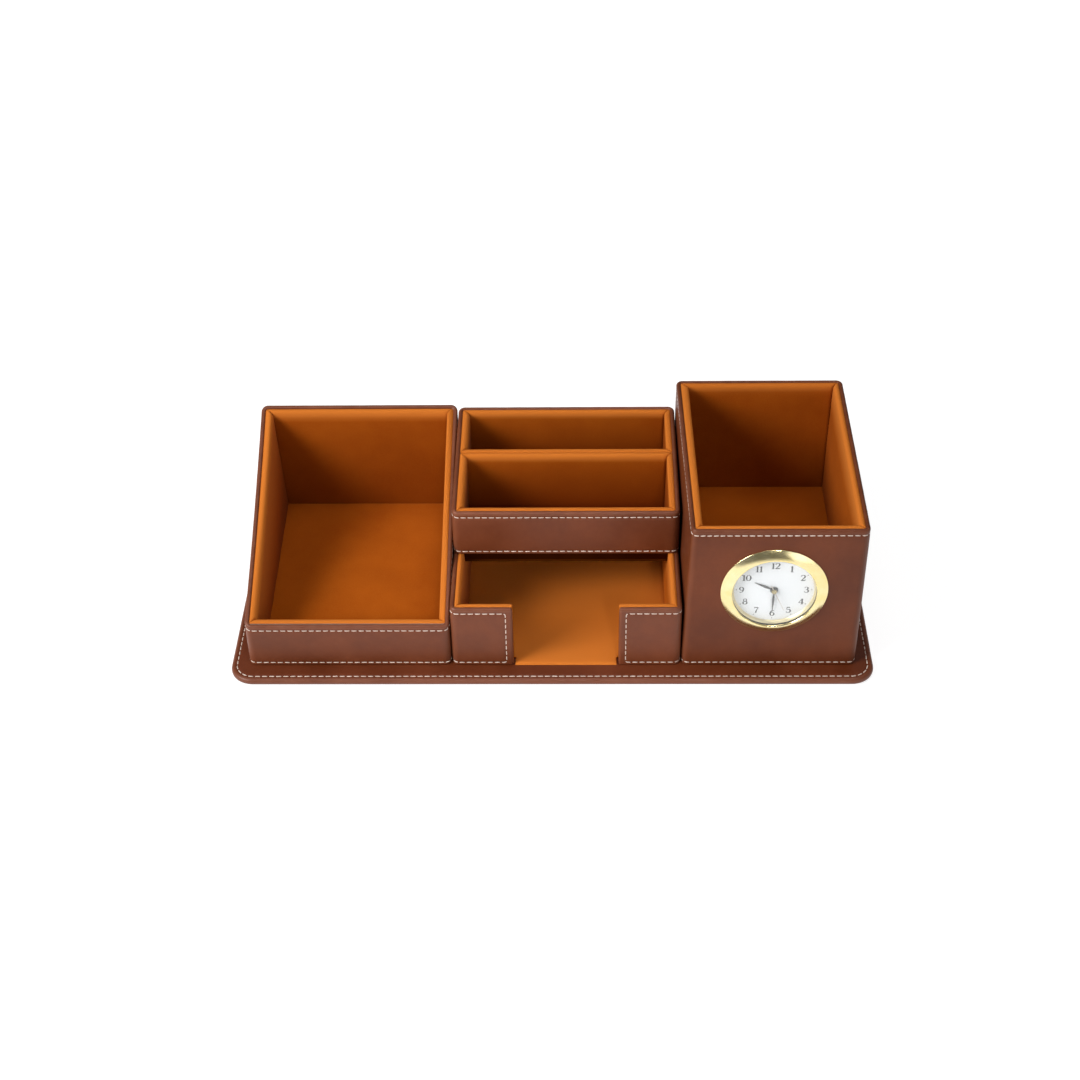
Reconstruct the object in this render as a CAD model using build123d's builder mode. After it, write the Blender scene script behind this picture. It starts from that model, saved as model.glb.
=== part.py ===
from build123d import *

import os
from dataclasses import dataclass
from math import cos, pi, radians, sin

# A desk organizer: four open leather boxes lined with suede, on one stitched base board.
# From left to right: a note box with a sloping rim, a memo tray with a card box of two slots
# standing on its rim, and a tall pen box with a quartz clock pushed into its front. The slots'
# floor is a shelf a little way down in the tray, on the tray's lining.
#
# Millimetres. +Z is up, the front faces -Y, and the origin is the centre of the base's underside.

os.makedirs("parts", exist_ok=True)

# ------------------------------------------------------------------ materials' thicknesses
leather = 0.8
wall_board = 1.5
suede_panel = 2.8

# ------------------------------------------------------------------ plan layout
side_margin = 9.0
front_margin = 10.5
back_margin = 9.5
box_gap = 0.5
box_depth = 121.0
note_box_width = 97.8
middle_width = 109.7
pen_box_width = 83.5
card_box_setback = 40.6
first_slot_depth = 44.5

# ------------------------------------------------------------------ heights above the base
note_box_front_height = 25.2
note_box_back_height = 68.8
memo_tray_height = 35.8
card_box_front_height = 25.7
card_box_back_height = 31.4
pen_box_height = 83.0

# ------------------------------------------------------------------ base
base_board_thickness = 1.8
base_corner_radius = 11.5
base_edge_roll = 1.4
base_hem = 14.0
underlay_thickness = 0.6
underlay_inset = 3.5

# ------------------------------------------------------------------ boxes
box_corner_radius = 3.3
rim_roll = 0.9
suede_roll = 0.9
box_hem = 8.0
floor_board = 1.5
note_floor_board = 2.4
note_pad = 4.5
card_pad = 1.2
card_shelf_drop = 6.5
shelf_play = 0.2
pen_pad = 2.0
pen_floor_rise = 14.0
memo_sheet = 1.0
memo_notch_width = 50.5
notch_play = 0.8
divider_board = 0.8
divider_drop = 2.0

# ------------------------------------------------------------------ clock: radial sizes
clock_height = 47.1
opening_diameter = 39.0
crest_width = 0.8
lens_lip = 1.1
lens_play = 0.1
skirt_wall = 0.8
skirt_play = 0.05
case_lip = 0.65
band_thickness = 0.7
bore_play = 0.1
flange_overlap = 2.0
shelf_width = 1.8
case_wall = 2.4
module_play = 0.1
back_seat_wall = 1.1
back_play = 0.1

# ------------------------------------------------------------------ clock: depths
bezel_edge = 0.5
bezel_height = 2.8
bezel_bulge = 0.3
bezel_lip = 0.35
lens_thickness = 1.0
lens_proud = 2.15
skirt_length = 1.0
gasket_thickness = 0.3
dial_ring_height = 1.65
dial_ring_taper = 0.9
dial_thickness = 0.5
motion_work_space = 1.3
module_thickness = 6.8
back_thickness = 1.2
band_length = 4.6
band_setback = 0.4

# ------------------------------------------------------------------ clock: hands
hand_gap = 0.45
hand_spacing = 0.5
hand_thickness = 0.2
hub_wall = 0.7
hour_hand_length = 10.3
hour_hand_width = 1.5
hour_hand_angle = 296.5
minute_hand_length = 12.8
minute_hand_width = 1.2
minute_hand_angle = 181.0
second_hand_length = 12.4
second_hand_width = 0.3
second_hand_angle = 156.0
second_hand_tail = 3.6
hand_tip_width = 0.3
hand_tail = 2.6
cap_radius = 1.25
cap_height = 0.3

# ------------------------------------------------------------------ clock: motion work
running_play = 0.06
arbor_radius = 0.45
pipe_wall = 0.42
arbor_seat_depth = 1.6
minute_module = 0.25
cannon_teeth = 12
minute_wheel_teeth = 36
minute_pinion_teeth = 10
hour_wheel_teeth = 40
setting_teeth = 12
gear_thickness = 0.4
gear_gap = 0.15
addendum_share = 0.8
dedendum_share = 1.15
root_tooth_share = 0.62
tip_tooth_share = 0.24
gear_post_radius = 0.5
minute_wheel_direction = 210.0
stem_radius = 0.7
knob_radius = 3.4
knob_thickness = 2.2
knob_gap = 0.4
knob_grooves = 18
knob_groove_radius = 0.28

# ------------------------------------------------------------------ clock: battery and back
battery_radius = 5.8
battery_can_height = 4.9
battery_button_radius = 4.4
battery_button_height = 0.4
battery_play = 0.15
battery_distance = 10.1
battery_direction = 30.0
contact_thickness = 0.2
contact_width = 3.0
cover_overlap = 1.4
cover_play = 0.08
lug_reach = 0.9
lug_width = 4.4
lug_thickness = 0.5
lug_play = 0.06
cover_turn = 60.0
coin_slot_length = 9.0
coin_slot_width = 1.4
coin_slot_depth = 0.6
press_play = 0.01
screw_radius = 0.8
screw_head_radius = 1.5
screw_head_height = 0.7
screw_length = 4.0
screw_circle_radius = 16.5
screw_directions = (100.0, 240.0, 340.0)
screw_slot_width = 0.4
screw_slot_depth = 0.35


@dataclass(frozen=True)
class Box:
    """One open box: its plan outline, the height it stands at and the heights of its rim."""

    left: float
    right: float
    front: float
    back: float
    bottom: float
    front_rim: float
    back_rim: float

    def rim_height(self, y):
        """The height of the rim's plane at a depth y."""
        share = (y - self.front) / (self.back - self.front)
        return self.front_rim + share * (self.back_rim - self.front_rim)

    def between(self, front, back):
        """The same box cut down to a stretch of its depth, under the same rim plane."""
        rims = self.rim_height(front), self.rim_height(back)
        return Box(self.left, self.right, front, back, self.bottom, *rims)

    def inset(self, distance):
        """The box drawn in on all four sides, under the same rim plane."""
        front, back = self.front + distance, self.back - distance
        rims = self.rim_height(front), self.rim_height(back)
        return Box(self.left + distance, self.right - distance, front, back, self.bottom, *rims)

    def lifted(self, distance):
        """The box with its bottom raised, under the same rim plane."""
        rims = self.front_rim, self.back_rim
        return Box(self.left, self.right, self.front, self.back, self.bottom + distance, *rims)

    def rim_plane(self, drop=0.0):
        """The plane of the rim, or one lower by a drop, with its normal pointing up."""
        slope = Vector(0, self.back - self.front, self.back_rim - self.front_rim)
        start = (0, self.front, self.front_rim - drop)
        return Plane(origin=start, x_dir=(1, 0, 0), z_dir=Vector(1, 0, 0).cross(slope))


def save(builder, label):
    """Labels a finished sub-part and writes it as its own STEP file."""
    builder.part.label = label
    export_step(builder.part, f"parts/{label}.step")


# ================================================================== layout from the driving sizes
wrap = leather + wall_board
wall = wrap + suede_panel
base_width = 2 * side_margin + note_box_width + middle_width + pen_box_width + 2 * box_gap
base_depth = front_margin + box_depth + back_margin
base_bottom = underlay_thickness
base_board_bottom = base_bottom + leather
base_top = base_board_bottom + base_board_thickness + leather

boxes_front = front_margin - base_depth / 2
boxes_back = boxes_front + box_depth
note_left = side_margin - base_width / 2
note_right = note_left + note_box_width
middle_left = note_right + box_gap
middle_right = middle_left + middle_width
pen_left = middle_right + box_gap
pen_right = pen_left + pen_box_width

note_box = Box(
    note_left, note_right, boxes_front, boxes_back, base_top,
    base_top + note_box_front_height, base_top + note_box_back_height,
)
memo_tray = Box(
    middle_left, middle_right, boxes_front, boxes_back, base_top,
    base_top + memo_tray_height, base_top + memo_tray_height,
)
card_box = Box(
    middle_left, middle_right, boxes_front + card_box_setback, boxes_back, memo_tray.front_rim,
    memo_tray.front_rim + card_box_front_height, memo_tray.front_rim + card_box_back_height,
)
pen_box = Box(
    pen_left, pen_right, boxes_front, boxes_back, base_top,
    base_top + pen_box_height, base_top + pen_box_height,
)
notch_centre = (middle_left + middle_right) / 2

# The clock's axis runs front to back. A depth is a distance behind the pen box's front face.
clock_x = (pen_left + pen_right) / 2
clock_z = base_top + clock_height
opening_radius = opening_diameter / 2
lens_radius = opening_radius + lens_lip
skirt_inner = lens_radius + lens_play
skirt_outer = skirt_inner + skirt_wall
case_front_inner = skirt_outer + skirt_play
case_radius = case_front_inner + case_lip
band_radius = case_radius + band_thickness
clock_bore = band_radius + bore_play
bezel_radius = clock_bore + flange_overlap
shelf_inner = lens_radius - shelf_width
cavity_radius = case_radius - case_wall
back_seat_radius = case_radius - back_seat_wall

lens_front = -lens_proud
lens_back = lens_front + lens_thickness
gasket_back = lens_back + gasket_thickness
dial_front = gasket_back + dial_ring_height
dial_back = dial_front + dial_thickness
module_front = dial_back + motion_work_space
module_back = module_front + module_thickness
case_back = module_back + back_thickness


# ================================================================== sketch helpers
def box_outline(box, corner_radius=0.0, mode=Mode.ADD):
    """Draws a box's plan outline in the active sketch, with rounded corners if it has any."""
    width = box.right - box.left
    depth = box.back - box.front
    with Locations(((box.left + box.right) / 2, (box.front + box.back) / 2)):
        if corner_radius > 0:
            RectangleRounded(width, depth, corner_radius, mode=mode)
        else:
            Rectangle(width, depth, mode=mode)


def notch_outline(widening=0.0):
    """Draws the memo tray's front notch in the active sketch, through the whole front wall."""
    reach = 2 * wall
    with Locations((notch_centre, memo_tray.front)):
        Rectangle(memo_notch_width + 2 * widening, reach, mode=Mode.SUBTRACT)


def clock_plane(depth):
    """The plane across the clock's axis at a depth, facing the viewer in front."""
    return Plane(origin=(clock_x, pen_box.front + depth, clock_z), x_dir=(1, 0, 0), z_dir=(0, -1, 0))


def hand_plane(depth, angle):
    """The plane of a hand, with x along the hand. The angle is clockwise from twelve."""
    along = Vector(sin(radians(angle)), 0, cos(radians(angle)))
    return Plane(origin=(clock_x, pen_box.front + depth, clock_z), x_dir=along, z_dir=(0, -1, 0))


def polar_point(distance, direction):
    """A point in a plane across the clock, from its axis."""
    return distance * cos(radians(direction)), distance * sin(radians(direction))


def disc(radius, front, back, bore=0.0, centre=(0, 0), mode=Mode.ADD):
    """Adds or cuts a round plate, or a ring, between two depths of the clock."""
    with BuildSketch(clock_plane(back)) as face:
        with Locations(centre):
            Circle(radius)
            if bore > 0:
                Circle(bore, mode=Mode.SUBTRACT)
    extrude(face.sketch, amount=back - front, mode=mode)


def gear(module, teeth, turn, front, back, bore, centre=(0, 0)):
    """Adds a toothed wheel between two depths, with one tooth pointing along the turn."""
    pitch_radius = module * teeth / 2
    tip = pitch_radius + addendum_share * module
    root = pitch_radius - dedendum_share * module
    half_root = root_tooth_share * pi * module / 2
    half_tip = tip_tooth_share * pi * module / 2
    with BuildSketch(clock_plane(back)) as wheel:
        with Locations(centre):
            Circle(root)
            with PolarLocations(0, teeth, start_angle=turn):
                Polygon(
                    (0, -half_root), (root, -half_root), (tip, -half_tip),
                    (tip, half_tip), (root, half_root), (0, half_root), align=None,
                )
            if bore > 0:
                Circle(bore, mode=Mode.SUBTRACT)
    extrude(wheel.sketch, amount=back - front)


# ================================================================== base
with BuildPart() as base_underlay:
    with BuildSketch(Plane.XY):
        RectangleRounded(
            base_width - 2 * underlay_inset, base_depth - 2 * underlay_inset,
            base_corner_radius - underlay_inset,
        )
    extrude(amount=underlay_thickness)
save(base_underlay, "base_underlay")

with BuildPart() as base_filler_card:
    with BuildSketch(Plane.XY.offset(base_bottom)):
        RectangleRounded(
            base_width - 2 * base_hem, base_depth - 2 * base_hem, base_corner_radius - leather
        )
    extrude(amount=leather)
save(base_filler_card, "base_filler_card")

with BuildPart() as base_board:
    with BuildSketch(Plane.XY.offset(base_board_bottom)):
        RectangleRounded(
            base_width - 2 * leather, base_depth - 2 * leather, base_corner_radius - leather
        )
    extrude(amount=base_board_thickness)
save(base_board, "base_board")

with BuildPart() as base_cover:
    with BuildSketch(Plane.XY.offset(base_bottom)):
        RectangleRounded(base_width, base_depth, base_corner_radius)
    extrude(amount=base_top - base_bottom)
    fillet(base_cover.faces().sort_by(Axis.Z)[-1].edges(), base_edge_roll)
    fillet(base_cover.faces().sort_by(Axis.Z)[0].edges(), leather)
    add(base_filler_card.part, mode=Mode.SUBTRACT)
    add(base_board.part, mode=Mode.SUBTRACT)
save(base_cover, "base_cover")


# ================================================================== open boxes
def board_box(box, floor_thickness, notch=False, bore=False):
    """The stiff board box under the leather: four walls, and a floor if it has one."""
    shell = box.inset(leather)
    inside = box.inset(wrap)
    start = box.bottom + leather
    height = max(box.front_rim, box.back_rim) - start
    with BuildPart() as boards:
        with BuildSketch(Plane.XY.offset(start)):
            box_outline(shell, box_corner_radius - leather)
            box_outline(inside, box_corner_radius - wrap, mode=Mode.SUBTRACT)
            if notch:
                notch_outline(leather)
        extrude(amount=height)
        if floor_thickness > 0:
            with BuildSketch(Plane.XY.offset(start)):
                box_outline(inside, box_corner_radius - wrap)
            extrude(amount=floor_thickness)
        split(bisect_by=box.rim_plane(leather), keep=Keep.BOTTOM)
        if bore:
            cut_clock_bore()
    return boards


def leather_cover(box, boards, hem, notch=False, bore=False):
    """The leather stretched over a board box, rolled over its rim and turned in under it."""
    height = max(box.front_rim, box.back_rim) - box.bottom
    with BuildPart() as cover:
        with BuildSketch(Plane.XY.offset(box.bottom)) as plan:
            box_outline(box, box_corner_radius)
            if notch:
                box_outline(box.inset(wrap), box_corner_radius - wrap, mode=Mode.SUBTRACT)
                notch_outline()
                fillet(notch_corners(plan), rim_roll)
        extrude(amount=height)
        split(bisect_by=box.rim_plane(), keep=Keep.BOTTOM)
        if not notch:
            with BuildSketch(Plane.XY.offset(box.bottom)):
                box_outline(box.inset(hem))
            extrude(amount=leather, mode=Mode.SUBTRACT)
            with BuildSketch(Plane.XY.offset(box.bottom + leather)):
                box_outline(box.inset(wrap), box_corner_radius - wrap)
            extrude(amount=height, mode=Mode.SUBTRACT)
        rim = cover.faces().sort_by(Axis(origin=(0, 0, 0), direction=box.rim_plane().z_dir))[-1]
        fillet(rim.edges(), rim_roll)
        add(boards.part, mode=Mode.SUBTRACT)
        if bore:
            cut_clock_bore()
    return cover


def suede_lining(cavity, notch=False, bore=False):
    """The suede panels that stand around the inside of a box, with soft rounded tops."""
    height = max(cavity.front_rim, cavity.back_rim) - cavity.bottom
    with BuildPart() as lining:
        with BuildSketch(Plane.XY.offset(cavity.bottom)):
            box_outline(cavity, box_corner_radius - wrap)
            box_outline(cavity.inset(suede_panel), mode=Mode.SUBTRACT)
            if notch:
                notch_outline()
        extrude(amount=height)
        split(bisect_by=cavity.rim_plane(), keep=Keep.BOTTOM)
        rim = lining.faces().sort_by(Axis(origin=(0, 0, 0), direction=cavity.rim_plane().z_dir))[-1]
        fillet(rim.edges(), suede_roll)
        if bore:
            cut_clock_bore()
    return lining


def floor_sheet(cavity, thickness):
    """A suede pad that fills the floor inside a lining."""
    with BuildPart() as pad:
        with BuildSketch(Plane.XY.offset(cavity.bottom)):
            box_outline(cavity.inset(suede_panel))
        extrude(amount=thickness)
    return pad


def cut_clock_bore():
    """Cuts the clock's bore through the pen box's front wall in the active part."""
    with BuildSketch(clock_plane(wall + leather)) as bore:
        Circle(clock_bore)
    extrude(bore.sketch, amount=wall + 2 * leather, mode=Mode.SUBTRACT)


def notch_corners(plan):
    """The outer corners where the leather turns in at the two ends of the notch."""
    front_corners = plan.vertices().group_by(Axis.Y)[0]
    return front_corners.sort_by(lambda corner: abs(corner.X - notch_centre))[:2]


note_boards = board_box(note_box, note_floor_board)
save(note_boards, "note_box_boards")
note_cover = leather_cover(note_box, note_boards, box_hem)
save(note_cover, "note_box_cover")
note_cavity = note_box.inset(wrap).lifted(leather + note_floor_board)
note_lining = suede_lining(note_cavity)
save(note_lining, "note_box_lining")
note_floor = floor_sheet(note_cavity, note_pad)
save(note_floor, "note_box_floor_pad")

memo_boards = board_box(memo_tray, 0.0, notch=True)
save(memo_boards, "memo_tray_boards")
memo_cover = leather_cover(memo_tray, memo_boards, wrap, notch=True)
save(memo_cover, "memo_tray_cover")
memo_cavity = memo_tray.inset(wrap)
memo_lining = suede_lining(memo_cavity, notch=True)
with memo_lining:
    shelf_bottom = card_box.bottom - card_shelf_drop
    with BuildSketch(Plane.XY.offset(shelf_bottom)) as shelf_seat:
        box_outline(memo_cavity.between(card_box.front + wrap - shelf_play, memo_cavity.back))
    extrude(shelf_seat.sketch, amount=memo_tray_height, mode=Mode.SUBTRACT)
save(memo_lining, "memo_tray_lining")

with BuildPart() as memo_floor:
    with BuildSketch(Plane.XY.offset(memo_tray.bottom)):
        box_outline(memo_cavity.inset(suede_panel))
        with Locations((notch_centre, memo_tray.front + wall / 2)):
            Rectangle(memo_notch_width - 2 * notch_play, wall)
    extrude(amount=memo_sheet)
save(memo_floor, "memo_tray_floor_sheet")

card_boards = board_box(card_box, 0.0)
save(card_boards, "card_box_boards")
card_cover = leather_cover(card_box, card_boards, wrap)
save(card_cover, "card_box_cover")
card_cavity = card_box.inset(wrap).lifted(floor_board - card_shelf_drop)

with BuildPart() as card_shelf:
    with BuildSketch(Plane.XY.offset(shelf_bottom)):
        box_outline(card_cavity.inset(shelf_play), box_corner_radius - wrap)
    extrude(amount=floor_board)
save(card_shelf, "card_box_shelf")
divider_front = card_box.front + first_slot_depth
front_slot = card_cavity.between(card_cavity.front, divider_front)
rear_slot = card_cavity.between(divider_front + divider_board, card_cavity.back)

with BuildPart() as card_divider:
    with BuildSketch(Plane.XY.offset(card_cavity.bottom)):
        box_outline(card_cavity.between(divider_front, divider_front + divider_board))
    extrude(amount=card_box_back_height + card_box_front_height)
    split(bisect_by=card_cavity.rim_plane(divider_drop), keep=Keep.BOTTOM)
save(card_divider, "card_box_divider")

for slot, side in ((front_slot, "front"), (rear_slot, "rear")):
    slot_lining = suede_lining(slot)
    save(slot_lining, f"card_box_{side}_lining")
    slot_floor = floor_sheet(slot, card_pad)
    save(slot_floor, f"card_box_{side}_floor_pad")

pen_boards = board_box(pen_box, floor_board, bore=True)
save(pen_boards, "pen_box_boards")
pen_cover = leather_cover(pen_box, pen_boards, box_hem, bore=True)
save(pen_cover, "pen_box_cover")
pen_cavity = pen_box.inset(wrap).lifted(leather + floor_board)
pen_lining = suede_lining(pen_cavity, bore=True)
save(pen_lining, "pen_box_lining")
pen_riser = floor_sheet(pen_cavity, pen_floor_rise)
save(pen_riser, "pen_box_riser")
pen_floor = floor_sheet(pen_cavity.lifted(pen_floor_rise), pen_pad)
save(pen_floor, "pen_box_floor_pad")


# ================================================================== clock: case, glass and dial
clock_section = Plane(origin=(clock_x, pen_box.front, clock_z), x_dir=(1, 0, 0), z_dir=(0, 0, 1))
clock_axis = Axis(origin=(clock_x, pen_box.front, clock_z), direction=(0, 1, 0))
crest_radius = opening_radius + crest_width
lip_front = lens_front - bezel_lip

with BuildPart() as clock_bezel:
    with BuildSketch(clock_section):
        with BuildLine():
            slope_radius = (bezel_radius + crest_radius) / 2
            slope_depth = -(bezel_edge + bezel_height) / 2 - bezel_bulge
            slope = ThreePointArc(
                (bezel_radius, -bezel_edge), (slope_radius, slope_depth), (crest_radius, -bezel_height)
            )
            Polyline(
                slope @ 1, (opening_radius, lip_front), (opening_radius, lens_front),
                (skirt_inner, lens_front), (skirt_inner, skirt_length), (skirt_outer, skirt_length),
                (skirt_outer, 0), (bezel_radius, 0), slope @ 0,
            )
        make_face()
    revolve(axis=clock_axis)
save(clock_bezel, "clock_bezel")

with BuildPart() as clock_lens:
    disc(lens_radius, lens_front, lens_back)
save(clock_lens, "clock_lens")

with BuildPart() as lens_gasket:
    disc(lens_radius, lens_back, gasket_back, bore=opening_radius)
save(lens_gasket, "lens_gasket")

with BuildPart() as dial_ring:
    with BuildSketch(clock_section):
        Polygon(
            (opening_radius, gasket_back), (lens_radius, gasket_back), (lens_radius, dial_front),
            (opening_radius - dial_ring_taper, dial_front), align=None,
        )
    revolve(axis=clock_axis)
save(dial_ring, "dial_ring")

with BuildPart() as clock_case:
    disc(case_radius, 0, case_back)
    disc(case_front_inner, 0, skirt_length + skirt_play, mode=Mode.SUBTRACT)
    disc(lens_radius + lens_play, skirt_length, dial_back, mode=Mode.SUBTRACT)
    disc(shelf_inner, dial_back, module_front, mode=Mode.SUBTRACT)
    disc(cavity_radius, module_front, module_back, mode=Mode.SUBTRACT)
    disc(back_seat_radius, module_back, case_back, mode=Mode.SUBTRACT)
save(clock_case, "clock_case")

with BuildPart() as retaining_band:
    disc(band_radius, band_setback, band_setback + band_length, bore=case_radius)
save(retaining_band, "retaining_band")

# ================================================================== clock: hands and motion work
# Clockwise seen from the front is a positive turn about +Y. Gear directions are measured
# anticlockwise from three o'clock, in the plane that faces the viewer.
cannon_bore = arbor_radius + running_play
cannon_pipe = cannon_bore + pipe_wall
hour_bore = cannon_pipe + running_play
hour_pipe = hour_bore + pipe_wall
post_bore = gear_post_radius + running_play
dial_hole = hour_pipe + 2 * running_play

second_front = lens_back + hand_gap
minute_front = second_front + hand_spacing
hour_front = minute_front + hand_spacing
hour_gear_front = dial_back + gear_gap
hour_gear_back = hour_gear_front + gear_thickness
minute_gear_front = hour_gear_back + gear_gap
minute_gear_back = minute_gear_front + gear_thickness

wheel_distance = minute_module * (cannon_teeth + minute_wheel_teeth) / 2
setting_distance = minute_module * (setting_teeth + minute_wheel_teeth) / 2
hour_module = 2 * wheel_distance / (hour_wheel_teeth + minute_pinion_teeth)
minute_wheel_centre = polar_point(wheel_distance, minute_wheel_direction)
setting_centre = polar_point(wheel_distance + setting_distance, minute_wheel_direction)

with BuildPart() as clock_dial:
    disc(lens_radius, dial_front, dial_back, bore=dial_hole)
save(clock_dial, "clock_dial")


def hand(length, width, tail, pipe_radius, angle, front):
    """Adds a tapering hand with a round hub, pressed on a pipe or an arbor."""
    with BuildSketch(hand_plane(front + hand_thickness, angle)) as blade:
        Polygon(
            (-tail, -width / 2), (0, -width / 2), (length, -hand_tip_width / 2),
            (length, hand_tip_width / 2), (0, width / 2), (-tail, width / 2), align=None,
        )
        Circle(pipe_radius + hub_wall)
        Circle(pipe_radius + press_play, mode=Mode.SUBTRACT)
    extrude(blade.sketch, amount=hand_thickness)


def meshing_turn(turn, teeth, direction, next_teeth):
    """The turn of a wheel that meshes with another one lying in a direction from it."""
    return direction + 180 + 180 / next_teeth - (turn - direction) * teeth / next_teeth


with BuildPart() as hour_hand:
    hand(hour_hand_length, hour_hand_width, hand_tail, hour_pipe, hour_hand_angle, hour_front)
save(hour_hand, "hour_hand")

with BuildPart() as minute_hand:
    hand(
        minute_hand_length, minute_hand_width, hand_tail, cannon_pipe,
        minute_hand_angle, minute_front,
    )
save(minute_hand, "minute_hand")

with BuildPart() as second_hand:
    hand(
        second_hand_length, second_hand_width, second_hand_tail, arbor_radius,
        second_hand_angle, second_front,
    )
save(second_hand, "second_hand")

with BuildPart() as hand_cap:
    disc(cap_radius, second_front - cap_height, second_front)
save(hand_cap, "hand_cap")

with BuildPart() as second_arbor:
    disc(arbor_radius, second_front, module_front + arbor_seat_depth)
save(second_arbor, "second_arbor")

first_turn = minute_wheel_direction
minute_wheel_turn = meshing_turn(
    first_turn, cannon_teeth, minute_wheel_direction, minute_wheel_teeth
)
minute_pinion_turn = meshing_turn(
    first_turn, hour_wheel_teeth, minute_wheel_direction, minute_pinion_teeth
)
setting_turn = meshing_turn(
    minute_wheel_turn, minute_wheel_teeth, minute_wheel_direction, setting_teeth
)

with BuildPart() as cannon_pinion:
    disc(cannon_pipe, minute_front, minute_gear_back, bore=cannon_bore)
    gear(minute_module, cannon_teeth, first_turn, minute_gear_front, minute_gear_back, cannon_bore)
save(cannon_pinion, "cannon_pinion")

with BuildPart() as hour_wheel:
    disc(hour_pipe, hour_front, hour_gear_back, bore=hour_bore)
    gear(hour_module, hour_wheel_teeth, first_turn, hour_gear_front, hour_gear_back, hour_bore)
save(hour_wheel, "hour_wheel")

with BuildPart() as minute_wheel:
    gear(
        minute_module, minute_wheel_teeth, minute_wheel_turn, minute_gear_front, minute_gear_back,
        post_bore, centre=minute_wheel_centre,
    )
    gear(
        hour_module, minute_pinion_teeth, minute_pinion_turn, hour_gear_front, minute_gear_front,
        post_bore, centre=minute_wheel_centre,
    )
save(minute_wheel, "minute_wheel")

knob_front = case_back + knob_gap
knob_back = knob_front + knob_thickness

with BuildPart() as setting_stem:
    disc(stem_radius, minute_gear_front, knob_back, centre=setting_centre)
    gear(
        minute_module, setting_teeth, setting_turn, minute_gear_front, minute_gear_back,
        0, centre=setting_centre,
    )
save(setting_stem, "setting_stem")

with BuildPart() as setting_knob:
    with BuildSketch(clock_plane(knob_back)) as knob_face:
        with Locations(setting_centre):
            Circle(knob_radius)
            Circle(stem_radius + press_play, mode=Mode.SUBTRACT)
            with PolarLocations(knob_radius, knob_grooves):
                Circle(knob_groove_radius, mode=Mode.SUBTRACT)
    extrude(knob_face.sketch, amount=knob_thickness)
save(setting_knob, "setting_knob")

# ================================================================== clock: movement, battery and back
battery_centre = polar_point(battery_distance, battery_direction)
battery_front = module_back - battery_can_height
pocket_front = battery_front - battery_button_height - contact_thickness
pocket_radius = battery_radius + battery_play
cover_radius = battery_radius + cover_overlap
lug_radius = cover_radius + lug_reach
stem_bore = stem_radius + running_play
contact_centre = (battery_centre[0] + battery_radius + contact_thickness / 2, battery_centre[1])
screw_centres = [polar_point(screw_circle_radius, direction) for direction in screw_directions]
lug_back = module_back + lug_thickness + 2 * lug_play

with BuildPart() as movement_module:
    disc(cavity_radius - module_play, module_front, module_back)
    disc(gear_post_radius, hour_gear_front, module_front, centre=minute_wheel_centre)
    disc(cannon_bore, module_front, module_front + arbor_seat_depth, mode=Mode.SUBTRACT)
    disc(stem_bore, module_front, module_back, centre=setting_centre, mode=Mode.SUBTRACT)
    disc(pocket_radius, pocket_front, module_back, centre=battery_centre, mode=Mode.SUBTRACT)
    with BuildSketch(clock_plane(module_back)) as contact_slot:
        with Locations(contact_centre):
            Rectangle(3 * contact_thickness, contact_width + battery_play)
    extrude(contact_slot.sketch, amount=module_back - pocket_front, mode=Mode.SUBTRACT)
    for centre in screw_centres:
        disc(
            screw_radius + press_play, case_back - screw_length, module_back,
            centre=centre, mode=Mode.SUBTRACT,
        )
save(movement_module, "movement_module")

with BuildPart() as battery:
    disc(battery_radius, battery_front, module_back, centre=battery_centre)
    disc(
        battery_button_radius, battery_front - battery_button_height, battery_front,
        centre=battery_centre,
    )
save(battery, "battery")

with BuildPart() as negative_contact:
    disc(
        battery_button_radius, pocket_front, pocket_front + contact_thickness,
        bore=contact_width / 2, centre=battery_centre,
    )
save(negative_contact, "negative_contact")

with BuildPart() as positive_contact:
    with BuildSketch(clock_plane(module_back)) as strip:
        with Locations(contact_centre):
            Rectangle(contact_thickness, contact_width)
    extrude(strip.sketch, amount=module_back - pocket_front)
save(positive_contact, "positive_contact")

with BuildPart() as clock_back:
    disc(back_seat_radius - back_play, module_back, case_back)
    disc(cover_radius + cover_play, module_back, case_back, centre=battery_centre, mode=Mode.SUBTRACT)
    disc(lug_radius + cover_play, module_back, lug_back, centre=battery_centre, mode=Mode.SUBTRACT)
    with BuildSketch(clock_plane(case_back)) as lug_notches:
        with Locations(battery_centre):
            Rectangle(2 * (lug_radius + cover_play), lug_width + 4 * cover_play, rotation=-cover_turn)
    extrude(lug_notches.sketch, amount=back_thickness, mode=Mode.SUBTRACT)
    disc(stem_bore, module_back, case_back, centre=setting_centre, mode=Mode.SUBTRACT)
    for centre in screw_centres:
        disc(screw_radius + press_play, module_back, case_back, centre=centre, mode=Mode.SUBTRACT)
save(clock_back, "clock_back")

with BuildPart() as battery_cover:
    disc(cover_radius, module_back + lug_play, case_back, centre=battery_centre)
    with BuildSketch(clock_plane(lug_back - lug_play)) as lugs:
        with Locations(battery_centre):
            Rectangle(2 * lug_radius, lug_width)
            Circle(lug_radius, mode=Mode.INTERSECT)
    extrude(lugs.sketch, amount=lug_thickness)
    with BuildSketch(clock_plane(case_back)) as coin_slot:
        with Locations(battery_centre):
            SlotOverall(coin_slot_length, coin_slot_width)
    extrude(coin_slot.sketch, amount=coin_slot_depth, mode=Mode.SUBTRACT)
save(battery_cover, "battery_cover")

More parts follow.
